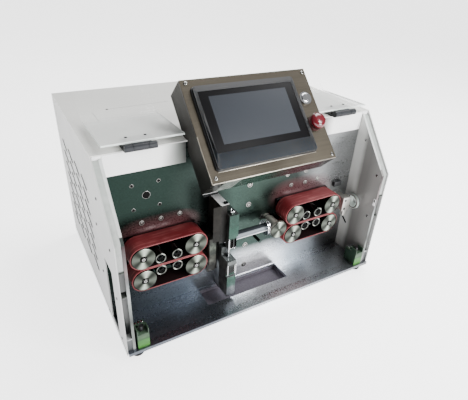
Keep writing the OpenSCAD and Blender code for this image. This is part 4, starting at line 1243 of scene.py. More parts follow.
@dataclass
class Cabinet:
    """White cabinet with its walls, roof, base, rear and feet.

    Attributes:
        wall_x, wall_in: The side walls' outer and inner faces, from the middle.
        inner_x, panel_t: The clear panels' face to the bay, and their thickness.
        height, depth: The cabinet's own.
        wing_h: Height at which the panels' front edges start to slope.
        base_t: Thickness of the base.
        wall_screws, panel_screws: Places from the front and from below.
        fan: Middle across, height and radius of the rear fan.
        hatch, hatch_rear: Corners of the seams on the roof.
    """

    finishes: Finishes
    fasteners: Fasteners
    wall_x: float = 291.5
    wall_in: float = 289.5
    inner_x: float = 274.5
    panel_t: float = 5.0
    height: float = 351.0
    depth: float = 441.0
    wing_h: float = 239.0
    base_t: float = 7.0
    wall_screws: Spots = (
        (85, 280), (116, 213), (30.5, 215), (118.6, 106), (26, 116), (114, 7), (26, 19))
    panel_screws: Spots = ((65, 294), (15.6, 232), (15, 130), (18, 27))
    fan: Triple = (150.0, 250.0, 38.0)
    hatch: Sequence[Triple] = ((-241.5, 285, 351), (-241.5, 183, 351), (-208.5, 180, 351))
    hatch_rear: Sequence[Triple] = ((-211.5, 295, 351), (-80.5, 301, 351))

    def shell(self) -> None:
        """Paints the folded sheet, the fascia and the wing spacers with painted shade and shadow,
        and adds its screws on both sides.
        """
        f = self.finishes
        dress("cabinet_shell", f.wall)
        dress("rear_panel", f.white)
        eased("fascia", f.fascia, 0.5, "cabinet")
        eased("wing_spacers", f.infill, 0.3, "cabinet")
        screw = self.fasteners.socket_screw(2.8, 1.0)
        for name, side, facing in (("left", -1, Facing.LEFT), ("right", 1, Facing.RIGHT)):
            self.fasteners.scatter(
                name + "_wall_screws", screw, facing.at(side * self.wall_x, 0, 0),
                [(side * y, z) for y, z in self.wall_screws], "cabinet",
                f.dark_screw, "black_plastic")

    def rear(self) -> None:
        """Adds the rear panel's screws, the fan behind its guard and a bare rating plate.

        Each blade is a strip carried outwards while it turns about its own length.
        """
        f = self.finishes
        face = Facing.REAR.at(0, self.depth, 0)
        x, z, radius = self.fan
        places = [(side * across, up) for side in (-1, 1)
                  for across, up in ((281.0, 338.0), (281.0, 176.0), (281.0, 18.0), (95.0, 338.0))]
        self.fasteners.scatter("rear_panel_screws", self.fasteners.socket_screw(3.0, 1.2), face,
                               places, "cabinet", f.dark_screw, "black_plastic")
        corners = [(-x + i * (radius + 6.0), z + k * (radius + 6.0))
                   for i in (-0.75, 0.75) for k in (-0.75, 0.75)]
        self.fasteners.scatter("fan_screws", self.fasteners.socket_screw(2.4, 1.0), face, corners,
                               "cabinet", f.screw, "chrome_trim")
        seat = Facing.REAR.at(x, self.depth - 8.0, z)
        away = np.linspace(11.0, radius - 2.0, 9)
        lean = np.radians(np.linspace(52.0, 24.0, 9))
        blades = []
        for turn in np.radians(np.arange(7) * 360.0 / 7):
            along = np.array([math.cos(turn), math.sin(turn), 0.0])
            across = np.array([-math.sin(turn), math.cos(turn), 0.0])
            chord = np.cos(lean)[:, None] * across + np.sin(lean)[:, None] * np.array([0, 0, 1.0])
            edge = np.cross(along, chord)
            middle = away[:, None] * along
            rings = np.stack([middle + wide * chord + thick * edge for wide, thick in (
                (-7.0, -0.6), (7.0, -0.6), (7.0, 0.6), (-7.0, 0.6))], 1)
            blades.append(seat.put(skin(rings)))
        hub = turned([(13.0, -8.0), (13.0, 3.0), (12.0, 4.4), (4.0, 4.8), (0.1, 4.8)], 40)
        make("fan_rotor", blades + [seat.put(hub)], f.black, "cabinet",
             smooth=False)
        plate = slab(oblong(60.0, 34.0, 130.0, 78.0, 2.0), 0.0, 0.4, 0.1)
        make("bare_rating_plate", face.put(plate), f.pale_steel, "cabinet")

    def roof(self) -> None:
        """Lays the hatch's fine seams on the roof, with its two screws."""
        seams = [tube(np.array(path, float), 0.45, 6) for path in (
            self.hatch, self.hatch_rear)]
        make("roof_hatch_seams", seams, self.finishes.seam, "cabinet")
        self.fasteners.scatter(
            "roof_hatch_screws", self.fasteners.socket_screw(2.4, 0.8),
            Facing.TOP.at(0, 0, self.height), ((-209.5, 180), (-211.5, 295)), "cabinet",
            self.finishes.dark_screw, "black_plastic")

    def front_edge(self, side: int) -> Shape:
        """Thin strip with painted reflections and shade that follows an inner panel's front edge,
        half a millimetre deep.

        Args:
            side: -1 for the left wing and 1 for the right one.
        Returns:
            The strip, with its outline in the side plane.
        """
        line = np.array([(1.8, self.base_t), (1.8, self.wing_h - 2.4), (88.6, 344.6)])
        inner = line[::-1] + np.array([(0.1, -0.5), (0.5, -0.2), (0.5, 0.0)])
        outline = np.concatenate([line, inner])[::-1]
        x0 = self.inner_x if side > 0 else -self.inner_x - self.panel_t
        return Facing.RIGHT.at(0, 0, 0).put(slab(outline, x0, x0 + self.panel_t, 0.1))

    def inner_panel(self, side: int) -> None:
        """Dresses one clear inner panel, and adds its front edge, filler, catch and screws.

        Args:
            side: -1 for the left one and 1 for the right one.
        """
        f = self.finishes
        name = "left" if side < 0 else "right"
        # The clear inner panels carry painted shade along their depth.
        dress(name + "_inner_panel",
              f.clear_left if side < 0 else f.clear)
        make(name + "_panel_edge", self.front_edge(side), f.rim, "cabinet",
             smooth=False)
        if side > 0:
            plate = Facing.LEFT.at(self.inner_x, 0, 0)
            notch = slab(oblong(-7.6, 163.0, -2.4, 179.0, 0.5), -0.2, 0.8, 0.2)
            make("panel_catch", plate.put(notch), f.gloss, "cabinet")
            slot = slab(oblong(-6.2, 171.0, -3.0, 177.5, 0.3), 0.6, 1.0, 0.1)
            make("panel_catch_slot", plate.put(slot), f.black, "cabinet")
        filler = slab(oblong(self.inner_x + 0.6, 342.4, self.wall_in - 0.1, 349.2, 0.3),
                      -1.4, 0.0, 0.2)
        face = Facing.FRONT.at(0 if side > 0 else -self.inner_x - self.wall_in, 89.9, 0)
        make(name + "_wing_filler", face.put(filler), f.gloss, "cabinet")
        seat = Facing.LEFT if side > 0 else Facing.RIGHT
        flip = -1 if side > 0 else 1
        self.fasteners.scatter(
            name + "_panel_screws", self.fasteners.socket_screw(3.0, 1.2),
            seat.at(side * self.inner_x, 0, 0), [(flip * y, z) for y, z in self.panel_screws],
            "cabinet", f.screw, "chrome_trim")

    def base(self) -> None:
        """Dresses the base and the mounting plate with their painted reflections and shade, and
        eases the feet.
        """
        f = self.finishes
        dress("base_plate", f.base)
        dress("mounting_plate", f.plate)
        eased("feet", f.rubber, 1.0, "cabinet")

    def build(self) -> None:
        """Builds the cabinet."""
        self.shell()
        self.rear()
        self.roof()
        self.base()
        self.inner_panel(-1)
        self.inner_panel(1)


@dataclass
class BayDetails:
    """What sits on the mounting plate: its screws and holes.

    Attributes:
        plate_y: The plate's front.
        middle: The machine's middle, counted from the left wall.
        small, large: Places of the two sizes of countersunk holes, from the left wall.
        wide, heads: Places of the two sizes of sunk screws.
    """

    finishes: Finishes
    fasteners: Fasteners
    plate_y: float = 91.5
    middle: float = 291.5
    small: Spots = (
        (59.9, 285.6), (107, 286), (107, 239), (59.6, 238.5), (328.9, 151.1))
    large: Spots = ((83.8, 263),)
    wide: Spots = (
        (292.4, 87.9), (293, 33.7), (294.7, 234.8), (294.4, 188.9))
    heads: Spots = (
        (71.8, 208.7), (107.9, 208.5), (144.6, 209.3), (386, 237.4), (433.9, 236.9),
        (398.7, 209.9), (436, 208.5), (469.5, 210.1))

    def build(self) -> None:
        """Builds the plate's fasteners."""
        f, screws = self.finishes, self.fasteners
        for name, shape, spots, metal, slot in (
                ("plate_holes_small", screws.set_in_hole(3.4, 0.82), self.small, f.screw,
                 "polished_plate"),
                ("plate_holes_large", screws.set_in_hole(7.4, 0.9), self.large, f.screw,
                 "polished_plate"),
                ("plate_sockets", screws.ringed(4.6), self.heads, f.bright, "chrome_trim"),
                ("plate_wide_sockets", screws.ringed(5.6), self.wide, f.bright,
                 "chrome_trim")):
            screws.scatter(name, shape, Facing.FRONT.at(0, self.plate_y, 0),
                           [(x - self.middle, z) for x, z in spots], "cabinet", metal, slot)


# ---------------------------------------------------------------- console


@dataclass
class Console:
    """Tilted console with its display, start button and emergency stop.

    Attributes:
        origin: Lower left corner of the front plate.
        width, height, plate_t: The plate's own.
        lean: Degrees that the plate leans back from upright.
        display: The bezel's left, low, width and height on the plate.
        glass, active: The same of the glass and of its picture area, on the bezel.
        controls: Place across of both buttons, and up the slope of start and stop.
    """

    finishes: Finishes
    fasteners: Fasteners
    origin: Triple = (-130.5, -4.5, 311.6)
    width: float = 255.0
    height: float = 183.0
    plate_t: float = 3.0
    lean: float = 44.0
    display: Four = (16.0, 20.0, 200.4, 146.5)
    glass: Four = (6.45, 27.0, 187.5, 109.0)
    active: Four = (23.15, 40.0, 154.1, 85.9)
    controls: Triple = (233.0, 122.0, 71.0)

    def seat(self, u: float = 0.0, v: float = 0.0, w: float = 0.0) -> Seat:
        """Seat on the front plate, u across, v up the slope and w out of it."""
        rise = math.radians(90.0 - self.lean)
        up = (0.0, math.cos(rise), math.sin(rise))
        out = (0.0, -math.sin(rise), math.cos(rise))
        x, y, z = self.origin
        return Seat((x + u, y + v * up[1] + w * out[1], z + v * up[2] + w * out[2]),
                    (1.0, 0.0, 0.0), up, out)

    def screen_finish(self) -> Material:
        """Glass front: a dark frame round a blue-grey picture area, by the seat's own axes."""
        g = Graph("display_glass")
        u, v, _, _ = self.display
        x, y, z = self.seat(u, v).origin
        spot = g.add("TexCoord").outputs["Object"]
        corner = (np.array([x, y, z]) + ROW_SHIFT) * MM
        local = g.add("Mapping", {"vector_type": "TEXTURE", "Location": tuple(corner),
                                  "Rotation": (math.radians(90.0 - self.lean), 0.0, 0.0)},
                      Vector=spot).outputs[0]
        parts = g.add("SeparateXYZ", None, Vector=local)
        left, low, wide, tall = (a * MM for a in self.active)
        inside_u = g.math("COMPARE", parts.outputs["X"], left + wide / 2, wide / 2)
        inside_v = g.math("COMPARE", parts.outputs["Y"], low + tall / 2, tall / 2)
        inside = g.math("MULTIPLY", inside_u, inside_v)
        rise = g.spread(parts.outputs["Y"], 0, 1, low, low + tall)
        slide = g.spread(parts.outputs["X"], 0, 1, left, left + wide)
        share = g.math("ADD", g.math("MULTIPLY", rise, -0.35), g.math("MULTIPLY", slide, 0.4))
        picture = g.ramp(g.math("ADD", share, 0.4), [
            (0.0, tone(46, 49, 54)), (0.6, tone(52, 55, 60)), (1.0, tone(56, 59, 64))])
        g.set(Base_Color=g.blend(inside, tone(9, 9, 11), picture), Roughness=0.4,
              Specular_IOR_Level=0.07)
        g.bump(g.noise(g.spot(), 60.0), 0.02, 0.01)
        return g.material

    def front(self) -> None:
        """Makes the brushed front plate, its screws, pale strips of painted highlight along two
        edges, its seam, and the underside with painted reflections.
        """
        f = self.finishes
        eased("console_plate", f.steel, 0.5, "cabinet",
              "console_front", smooth=False)
        self.fasteners.scatter(
            "console_screws", self.fasteners.socket_screw(3.4, 1.6), self.seat(),
            ((9.9, 176.3), (248.3, 174.8), (248.5, 8), (9.4, 9.1)), "cabinet",
            f.screw, "chrome_trim")
        # Painted highlights: thin pale strips along the plate's bottom and left edges.
        line = [slab(oblong(*box, 0.5), -1.6, 0.12, 0.4) for box in (
            (0.6, -0.12, self.width - 0.2, 1.5), (-0.12, 0.4, 1.0, 0.45 * self.height))]
        make("console_edge_highlights", [self.seat().put(part) for part in line],
             f.pale_steel, "cabinet")
        seam = slab(oblong(-0.3, 0.0, 0.3, self.height, 0.2), -3.2, -1.8, 0.1)
        make("console_seam", self.seat().put(seam), f.black, "cabinet")
        dress("console_box", f.console)
        flat = self.seat()
        below = Seat(flat.origin, flat.right, flat.out, tuple(-a for a in flat.up))
        # The underside carries painted reflections.
        sheet = slab(oblong(0.4, -51.0, self.width - 0.4, -self.plate_t, 1.0), 0.0, 0.3, 0.1)
        make("console_underside", below.put(sheet), f.underside, "cabinet",
             smooth=False)

    def screen(self) -> None:
        """Makes the bezel with its stepped edge and its outer wall in painted shade, a strip of
        painted highlight below it, and the glass.
        """
        f = self.finishes
        u, v, w, h = self.display
        gu, gv, gw, gh = self.glass
        seat = self.seat(u, v)
        outer = oblong(0, 0, w, h, 6.0, 8)
        inner = oblong(gu, gv, gu + gw, gv + gh, 1.0, 8)
        rim = framed(outer, inner, 0.0, 7.0, 0.7, 1)
        skirt = framed(oblong(-1.9, -0.9, w + 0.9, h + 0.9, 6.0, 8),
                       oblong(2.0, 2.0, w - 2.0, h - 2.0, 4.0, 8), 0.0, 3.4, 1.2)
        make("display_skirt", seat.put(skirt), f.black, "cabinet")
        # The bezel's outer wall takes the painted shade.
        make("display_bezel", seat.put(rim), [f.bezel, f.hole],
             "cabinet")
        # Painted highlight: a pale strip under the bezel's lower edge.
        gleam = slab(oblong(1.0, -2.4, w - 1.0, -1.1, 0.4), 0.0, 0.12, 0.04)
        make("display_gleam", seat.put(gleam), f.pale_steel, "cabinet")
        dress("hmi_bezel", f.black)
        pane = slab(oblong(gu + 0.1, gv + 0.1, gu + gw - 0.1, gv + gh - 0.1, 0.8), 6.0, 6.6, 0.2)
        make("display_glass", seat.put(pane), self.screen_finish(), "cabinet",
             ["hmi_screen"])

    def buttons(self) -> None:
        """Makes the start button with its ring, and the emergency stop."""
        f = self.finishes
        u, start_v, stop_v = self.controls
        ring = turned([(9.05, -1), (11.9, 0), (11.9, 2.2), (11.4, 3.0), (10.7, 3.3),
                       (9.9, 3.0), (9.2, 2.2), (9.05, 1.6)], 64, True)
        make("start_button_ring", self.seat(u, start_v).put(ring), f.chrome,
             "cabinet")
        dress("button_ring", f.chrome)
        cap = turned([(8.9, 0), (8.9, 4.6), (8.4, 5.4), (7.4, 5.7), (5.0, 5.3), (2.5, 5.1),
                      (0.2, 5.0)], 64)
        make("start_button_cap", self.seat(u, start_v, 0.2).put(cap), f.chrome,
             "start_button", ["start_button"])
        collar = turned([(8.2, 0), (14.5, 0), (14.5, 3.6), (13.8, 4.6), (12.8, 5.0), (8.2, 5.0)],
                        64, True)
        make("stop_collar", self.seat(u, stop_v).put(collar), f.stop_base,
             "cabinet")
        dress("estop_collar", f.stop_base)
        head = turned([(7.9, -8), (7.9, 11.0), (13.6, 11.4), (14.8, 12.6), (15.0, 14.4),
                       (14.6, 16.6), (13.2, 19.0), (10.6, 20.8), (7.0, 21.7), (3.0, 22.0),
                       (0.2, 22.0)], 64)
        make("stop_head", self.seat(u, stop_v).put(head), f.red, "estop_head",
             ["estop_mushroom"])

    def build(self) -> None:
        """Builds the console."""
        self.front()
        self.screen()
        self.buttons()


# ---------------------------------------------------------------- covers


@dataclass
class Cover:
    """One clear bent cover, folded back on its hinge.

    Attributes:
        side: -1 for the left cover and 1 for the right one.
        outer_x: Its outer edge, from the machine's middle.
        width, thick: The sheet's own.
        hinge_y, hinge_z: The hinge's axis.
        back: Degrees that the folded sheet falls to the rear.
        bend, bend_r: Degrees and inner radius of its bend.
        slope_len, drop_len: Lengths before and after the bend.
        start: Distance from the axis at which the sheet starts.
        corner_r: Radius of its two far corners.
        barrel, gap: Radius of the knuckles, and room between them and the sheet.
        hinge_x, hinge_len: Middle and length of the hinge.
    """

    side: int
    finishes: Finishes
    fasteners: Fasteners
    outer_x: float = 274.0
    width: float = 138.0
    thick: float = 3.0
    hinge_y: float = 82.283
    hinge_z: float = 357.201
    back: float = 2.0
    bend: float = 38.8
    slope_len: float = 136.0
    drop_len: float = 56.0
    start: float = 4.5
    bend_r: float = 8.0
    corner_r: float = 8.0
    barrel: float = 6.0
    gap: float = 0.3
    hinge_x: float = 213.5
    hinge_len: float = 53.0

    @property
    def name(self) -> str:
        """The start of its pieces' names: left or right."""
        return "left" if self.side < 0 else "right"

    def axis_seat(self, x: float) -> Seat:
        """Seat in the side plane on the hinge's axis: right to the rear, up, out to +X."""
        lean = math.radians(-self.back)
        return Seat((x, self.hinge_y, self.hinge_z), (0.0, math.cos(lean), math.sin(lean)),
                    (0.0, -math.sin(lean), math.cos(lean)), (1.0, 0.0, 0.0))

    def sheet(self) -> None:
        """Makes the bent sheet: rings of four corners along its path, narrower at round ends.

        At a distance s from the far end the half width is W/2 - r + sqrt(r r - (r - s)(r - s)).
        """
        inner, radius = self.bend_r, self.corner_r
        low = self.barrel + self.gap
        angle = np.radians(np.linspace(0, self.bend, 9))
        centre = low + self.thick + inner
        path = np.concatenate([
            [[self.start, low + self.thick / 2]],
            np.stack([self.slope_len + (inner + self.thick / 2) * np.sin(angle),
                      centre - (inner + self.thick / 2) * np.cos(angle)], -1)])
        end = path[-1] + self.drop_len * np.array([math.cos(angle[-1]), math.sin(angle[-1])])
        last = np.linspace(0, 1, 12)[1:, None] ** 0.5
        path = np.concatenate([path, path[-1] + (end - path[-1]) * last])
        step = np.gradient(path, axis=0)
        step /= np.linalg.norm(step, axis=1, keepdims=True)
        step[0], step[1] = (1.0, 0.0), (1.0, 0.0)
        normal = np.stack([-step[:, 1], step[:, 0]], -1)
        from_end = np.linalg.norm(path - end, axis=1)
        inside = np.clip(radius - from_end, 0, radius)
        half = self.width / 2 - radius + np.sqrt(radius ** 2 - inside ** 2)
        half[-1] = self.width / 2 - radius * 0.995
        thick = self.thick / 2
        corners = [(-1, -1), (1, -1), (1, 1), (-1, 1)]
        rings = np.stack([np.column_stack([path + normal * thick * t, half * w])
                          for w, t in corners], 1)
        shape = skin(rings, cap_tag=1)
        shape.tags = np.where(np.arange(len(shape.quads)) % 2 == 1, 1, 0)
        middle = self.side * (self.outer_x - self.width / 2)
        make(self.name + "_cover_sheet", self.axis_seat(middle).put(shape),
             [self.finishes.cover, self.finishes.cover_edge], self.name + "_lid",
             [self.name + "_cover"], smooth=False)

    def hinge(self) -> None:
        """Makes both leaves: knuckles round the pin, plates and screws."""
        f = self.finishes
        x = self.side * self.hinge_x
        quarter = self.hinge_len / 4

        def knuckle(x0: float, x1: float) -> Shape:
            """Rounded barrel from x0 to x1 on the hinge's axis."""
            r = self.barrel
            return self.axis_seat(x).put(turned(
                [(r - 0.6, x0), (r, x0 + 0.6), (r, x1 - 0.6), (r - 0.6, x1)], 32))

        leaf = self.axis_seat(x).put(slab(
            oblong(8.1, self.barrel + self.gap - 2, 34.0, self.barrel + self.gap, 0.4),
            -self.hinge_len / 2, self.hinge_len / 2, 0.4))
        make(self.name + "_cover_strip", leaf, f.pale, self.name + "_lid",
             [self.name + "_cover_leaf"])
        web = self.axis_seat(x).put(slab(
            oblong(0.0, self.barrel + self.gap - 2, 8.3, self.barrel + self.gap, 0.3),
            -quarter + 0.4, quarter - 0.4, 0.2))
        make(self.name + "_cover_knuckle", [knuckle(-quarter + 0.3, quarter - 0.3), web],
             f.slate, self.name + "_lid")
        dress(self.name + "_roof_leaf", f.slate)
        ends = [knuckle(-self.hinge_len / 2 - 0.15, -quarter), knuckle(quarter,
                self.hinge_len / 2 + 0.15)]
        make(self.name + "_hinge_ends", ends, f.slate, "cabinet")
        lift = self.barrel + self.gap + self.thick
        lean = self.axis_seat(x)
        top = Seat(tuple(np.array(lean.origin) + lift * np.array(lean.up)), (1.0, 0.0, 0.0),
                   lean.right, lean.up)
        self.fasteners.scatter(
            self.name + "_cover_screws", self.fasteners.socket_screw(2.6, 1.0), top,
            ((-16, 24), (16, 24)), self.name + "_lid", f.dark_screw, "chrome_trim")

    def build(self) -> None:
        """Builds the cover and its hinge."""
        self.sheet()
        self.hinge()


# ---------------------------------------------------------------- feeds


@dataclass
class FeedUnit:
    """One belt feed: two belts, four end pulleys and four idlers.

    Attributes:
        name: left or right.
        middle: Place of its middle across the bay.
        wire_z: Height of the wire's line.
        span, axis_dz: End pulleys' distance along the wire, and their height from it.
        wheel_r, wheel_y: Their radius, and their front and rear.
        slack, belt_t, belt_y: Room under the belt, its thickness, and its front and rear.
        idler_r, idler_span, idler_dz: The idlers' radius, distance and height from the wire.
        idler_shift, idler_y0: How far the idlers sit off the middle, and their front.
    """

    name: str
    middle: float
    finishes: Finishes
    fasteners: Fasteners
    wire_z: float = 144.5
    span: float = 99.0
    wheel_r: float = 21.5
    axis_dz: float = 24.15
    slack: float = 0.25
    belt_t: float = 2.2
    belt_y: Tuple[float, float] = (43.0, 81.0)
    wheel_y: Tuple[float, float] = (41.0, 81.0)
    idler_r: float = 10.5
    idler_span: float = 31.0
    idler_shift: float = -2.0
    idler_dz: float = 13.15
    idler_y0: float = 44.0

    def belt(self, level: str, sign: int) -> None:
        """Makes one belt: a section with round edges carried round both pulleys.

        The path is two half circles joined by straight runs: angle from -90 to 90 degrees
        round the right pulley, and on from 90 to 270 round the left one.

        Args:
            level: upper or lower.
            sign: 1 above the wire and -1 below it.
        """
        radius = self.wheel_r + self.slack + self.belt_t / 2
        turn = np.radians(np.linspace(-90, 90, 33))
        run = np.linspace(-1, 1, 14)[1:-1] * self.span / 2
        right = np.stack([self.span / 2 + radius * np.cos(turn), radius * np.sin(turn)], -1)
        left = -right
        top = np.stack([run[::-1], np.full(len(run), radius)], -1)
        path = np.concatenate([right, top, left, -top])
        width = (self.belt_y[1] - self.belt_y[0]) / 2
        thick = self.belt_t / 2
        section = rounded([(thick, -width), (thick, width), (-thick, width), (-thick, -width)],
                          0.7, 4)
        shape = swept(section, path)
        ends = section[np.arange(len(shape.quads)) % len(section)]
        shape.tags = np.where(ends[:, 0] < -thick + 0.3, 1, 0)
        seat = Facing.FRONT.at(self.middle, sum(self.belt_y) / 2,
                               self.wire_z + sign * self.axis_dz)
        body = f"{self.name}_upper_unit" if level == "upper" else "cabinet"
        make(f"{self.name}_{level}_band", seat.put(shape),
             [self.finishes.belt, self.finishes.lining], body,
             [f"{self.name}_{level}_belt"])

    def roller(self, node: str, x: float, z: float, shape: Shape,
               metal: Material) -> None:
        """Seats a turned wheel on its shaft, as a piece in its CAD node's place.

        Args:
            node: The CAD node.
            x, z: The shaft's place.
            shape: The wheel, from its rear face forwards.
            metal: Its material; the dark bands take the hole's painted shade.
        """
        seat = Facing.FRONT.at(x, self.wheel_y[1], z)
        make(node + "_wheel", seat.put(shape), [metal, self.finishes.hole], node + "_body",
             [node])

    def wheel(self, node: str, x: float, z: float) -> None:
        """Makes one end pulley: face with a bevel and a dish, a ring of painted shade round the
        shaft, belt track behind.
        """
        long = self.wheel_y[1] - self.wheel_y[0]
        r = self.wheel_r
        profile = [(5.06, 0), (r - 1, 0), (r, 1), (r, 2), (r - 0.4, 3), (r - 0.4, long - 4),
                   (r, long - 3), (r, long - 1.4), (r - 0.3, long - 0.5), (r - 1.2, long),
                   (16.0, long - 0.05), (6.6, long - 0.1), (6.2, long - 0.5),
                   (5.06, long - 0.6)]
        self.roller(node, x, z, self.fasteners.marked(profile, (11, 12), 72, True),
                    self.finishes.turned)

    def idler(self, node: str, x: float, z: float) -> None:
        """Makes one idler: ground ring round a recess whose wall and floor are painted shade."""
        long = self.wheel_y[1] - self.idler_y0
        r = self.idler_r
        profile = [(5.06, 0), (r - 0.5, 0), (r, 0.6), (r, long - 0.8), (r - 0.7, long),
                   (r - 2.4, long), (r - 3.0, long - 0.5), (r - 3.1, long - 6.0),
                   (5.06, long - 6.4)]
        self.roller(node, x, z, self.fasteners.marked(profile, (6, 7), 48, True),
                    self.finishes.bearing)

    def build(self) -> None:
        """Builds the unit's belts, wheels, blocks and the screws on its shafts."""
        for level, sign in (("upper", 1), ("lower", -1)):
            self.belt(level, sign)
            body = f"{self.name}_upper_unit" if level == "upper" else "cabinet"
            block = f"{self.name}_{level}_" + ("carriage" if level == "upper" else "block")
            eased(block, self.finishes.oxide, 0.5, body)
            z = self.wire_z + sign * self.axis_dz
            z2 = self.wire_z + sign * self.idler_dz
            big, little = [], []
            for k, letter in ((-1, "a"), (1, "b")):
                x = self.middle + k * self.span / 2
                self.wheel(f"{self.name}_{level}_pulley_{letter}", x, z)
                big.append((x, z))
                x = self.middle + self.idler_shift + k * self.idler_span / 2
                self.idler(f"{self.name}_{level}_idler_{letter}", x, z2)
                little.append((x, z2))
            self.fasteners.scatter(
                f"{self.name}_{level}_pulley_screws", self.fasteners.shaft_end(),
                Facing.FRONT.at(0, self.wheel_y[0] - 1.0, 0), big, body, self.finishes.screw,
                "chrome_trim")
            # The idlers' screws are painted with the shade of their recess.
            self.fasteners.scatter(
                f"{self.name}_{level}_idler_screws", self.fasteners.socket_screw(4.2, 1.6, 0.55),
                Facing.FRONT.at(0, self.idler_y0 - 0.1, 0), little, body,
                self.finishes.hole, "bearing_steel")


# ---------------------------------------------------------------- blade head


@dataclass
class BladeHead:
    """Guide column, tool blocks, blades, guide and the turning conduit tube.

    Attributes:
        hub_x, hub_y: The conduit's turning axis across the bay, and its hub's front.
        flange_x, groove_y: Places of the tube's first flange and of the post's groove.
        bush_x: The outlet bush's face to the bay.
        wire_y, wire_z: The wire's line.
        tool_y, column_y: Fronts of the tool blocks and of the column's cap.
        tool_top, column_top: Heights of the upper tool's screw and of the column's cap.
    """

    finishes: Finishes
    fasteners: Fasteners
    hub_x: float = 48.0
    hub_y: float = 41.0
    flange_x: float = 30.0
    groove_y: float = 84.0
    bush_x: float = 269.5
    wire_y: float = 62.0
    wire_z: float = 144.5
    tool_y: float = 35.0
    column_y: float = 38.0
    tool_top: float = 218.0
    column_top: float = 239.0

    def nodes(self) -> None:
        """Eases and dresses the CAD's own parts of the head."""
        f = self.finishes
        # The column's front and left face take their own painted light and shade.
        eased("head_column", f.column, 0.5, "cabinet",
              sides={Side.LEFT: f.column_side_painted_shade})
        # Each face of the tools takes its own finish: painted reflections in front, painted light
        # and shade on top and on the left.
        tool = {Side.FRONT: f.head_front, Side.TOP: f.head_top, Side.LEFT: f.tool_side_painted_shade}
        eased("upper_tool", f.head, 0.6, "upper_tool_body", sides=tool)
        eased("lower_tool", f.head, 0.6, "lower_tool_body", sides=tool)
        dress("upper_blade", f.blade)
        dress("lower_blade", f.blade)
        eased("inlet_guide", f.brass, 0.6, "cabinet")
        dress("tube_post", f.hub)
        eased("tube_hub", f.hub, 0.5, "conduit")
        eased("conduit_tube", f.tube, 0.4, "conduit")
        eased("outlet_bushing", f.edge, 0.8, "cabinet")

    def faces(self) -> None:
        """Adds the outlet's rings and the hub's turned face, with painted shade in their grooves
        and painted highlight fans on the face.
        """
        f = self.finishes
        rings = self.fasteners.marked([(17.4, -0.3), (17.4, 0.5), (15.4, 0.6), (15.2, 0.15),
                                       (14.0, 0.1), (13.8, 0.5), (13.3, 0.4), (13.3, -0.3)],
                                      (2, 3, 4), 64, True)
        bush = Facing.LEFT.at(self.bush_x, self.wire_y, self.wire_z)
        make("outlet_bushing_rings", bush.put(rings), [f.bright, f.hole], "cabinet")
        disc = self.fasteners.marked([(19.0, 0.0), (19.0, 0.3), (18.2, 1.0), (9, 0.9),
                                      (2.8, 0.8), (2.7, 0.3), (1.9, 0.3), (1.8, 0.8),
                                      (0.9, 0.8), (0.8, 0.3), (0.1, 0.3)], (4, 5, 6, 8, 9), 72)
        make("hub_face", Facing.FRONT.at(self.hub_x, self.hub_y, self.wire_z).put(disc),
             [f.turned, f.hole], "conduit")

    def trims(self, tool: str, boxes: Sequence[Four]) -> None:
        """Adds thin polished lines on a tool's front.

        Args:
            tool: The tool block's node.
            boxes: Left, low, right and high of each line.
        """
        face = Facing.FRONT.at(0, self.tool_y, 0)
        lines = [face.put(slab(oblong(*box, 0.4), -0.1, 0.7, 0.2)) for box in boxes]
        make(tool + "_trims", lines, self.finishes.chrome, tool + "_body")

    def tools(self) -> None:
        """Adds the ring and plug on the upper tool, and the lines on both tools' fronts."""
        f = self.finishes
        ring = turned([(3.2, 0.0), (5.6, 0.0), (5.6, 1.6), (5.0, 2.2), (3.9, 2.2), (3.2, 1.4)],
                      40, True)
        plug = turned([(3.1, 0.0), (3.1, 0.9), (1.4, 1.0), (1.2, 0.3), (0.1, 0.3)], 24)
        top = Facing.TOP.at(-62.7, 44.0, self.tool_top)
        make("upper_tool_ring", top.put(ring), f.chrome, "upper_tool_body")
        make("upper_tool_plug", top.put(plug), f.oxide, "upper_tool_body")
        self.trims("upper_tool", ((-72.4, 139.6, -71.0, 162.0), (-58.0, 140.0, -57.4, 160.0),
                                  (-65.5, 140.0, -65.0, 160.0), (-72.0, 139.4, -55.2, 140.2)))
        self.trims("lower_tool", ((-72.2, 73.0, -71.2, 98.0), (-57.0, 74.0, -56.2, 96.0),
                                  (-54.6, 73.0, -53.4, 98.0)))

    def conduit(self) -> None:
        """Adds the tube's two flanges and the dark groove round its post."""
        f = self.finishes
        flange = [Facing.LEFT.at(self.flange_x - k, self.wire_y, self.wire_z).put(turned(
            [(15.6, -1.1), (17.2, -1.1), (17.5, -0.8), (17.5, 0.8), (17.2, 1.1), (15.6, 1.1)],
            56, True)) for k in (0.0, 3.6)]
        make("tube_flange", flange, f.chrome, "conduit")
        groove = turned([(11.05, -0.9), (11.25, -0.9), (11.25, 0.9), (11.05, 0.9)], 48, True)
        post = Facing.FRONT.at(self.hub_x, self.groove_y, self.wire_z)
        make("post_groove", post.put(groove), f.black, "cabinet")

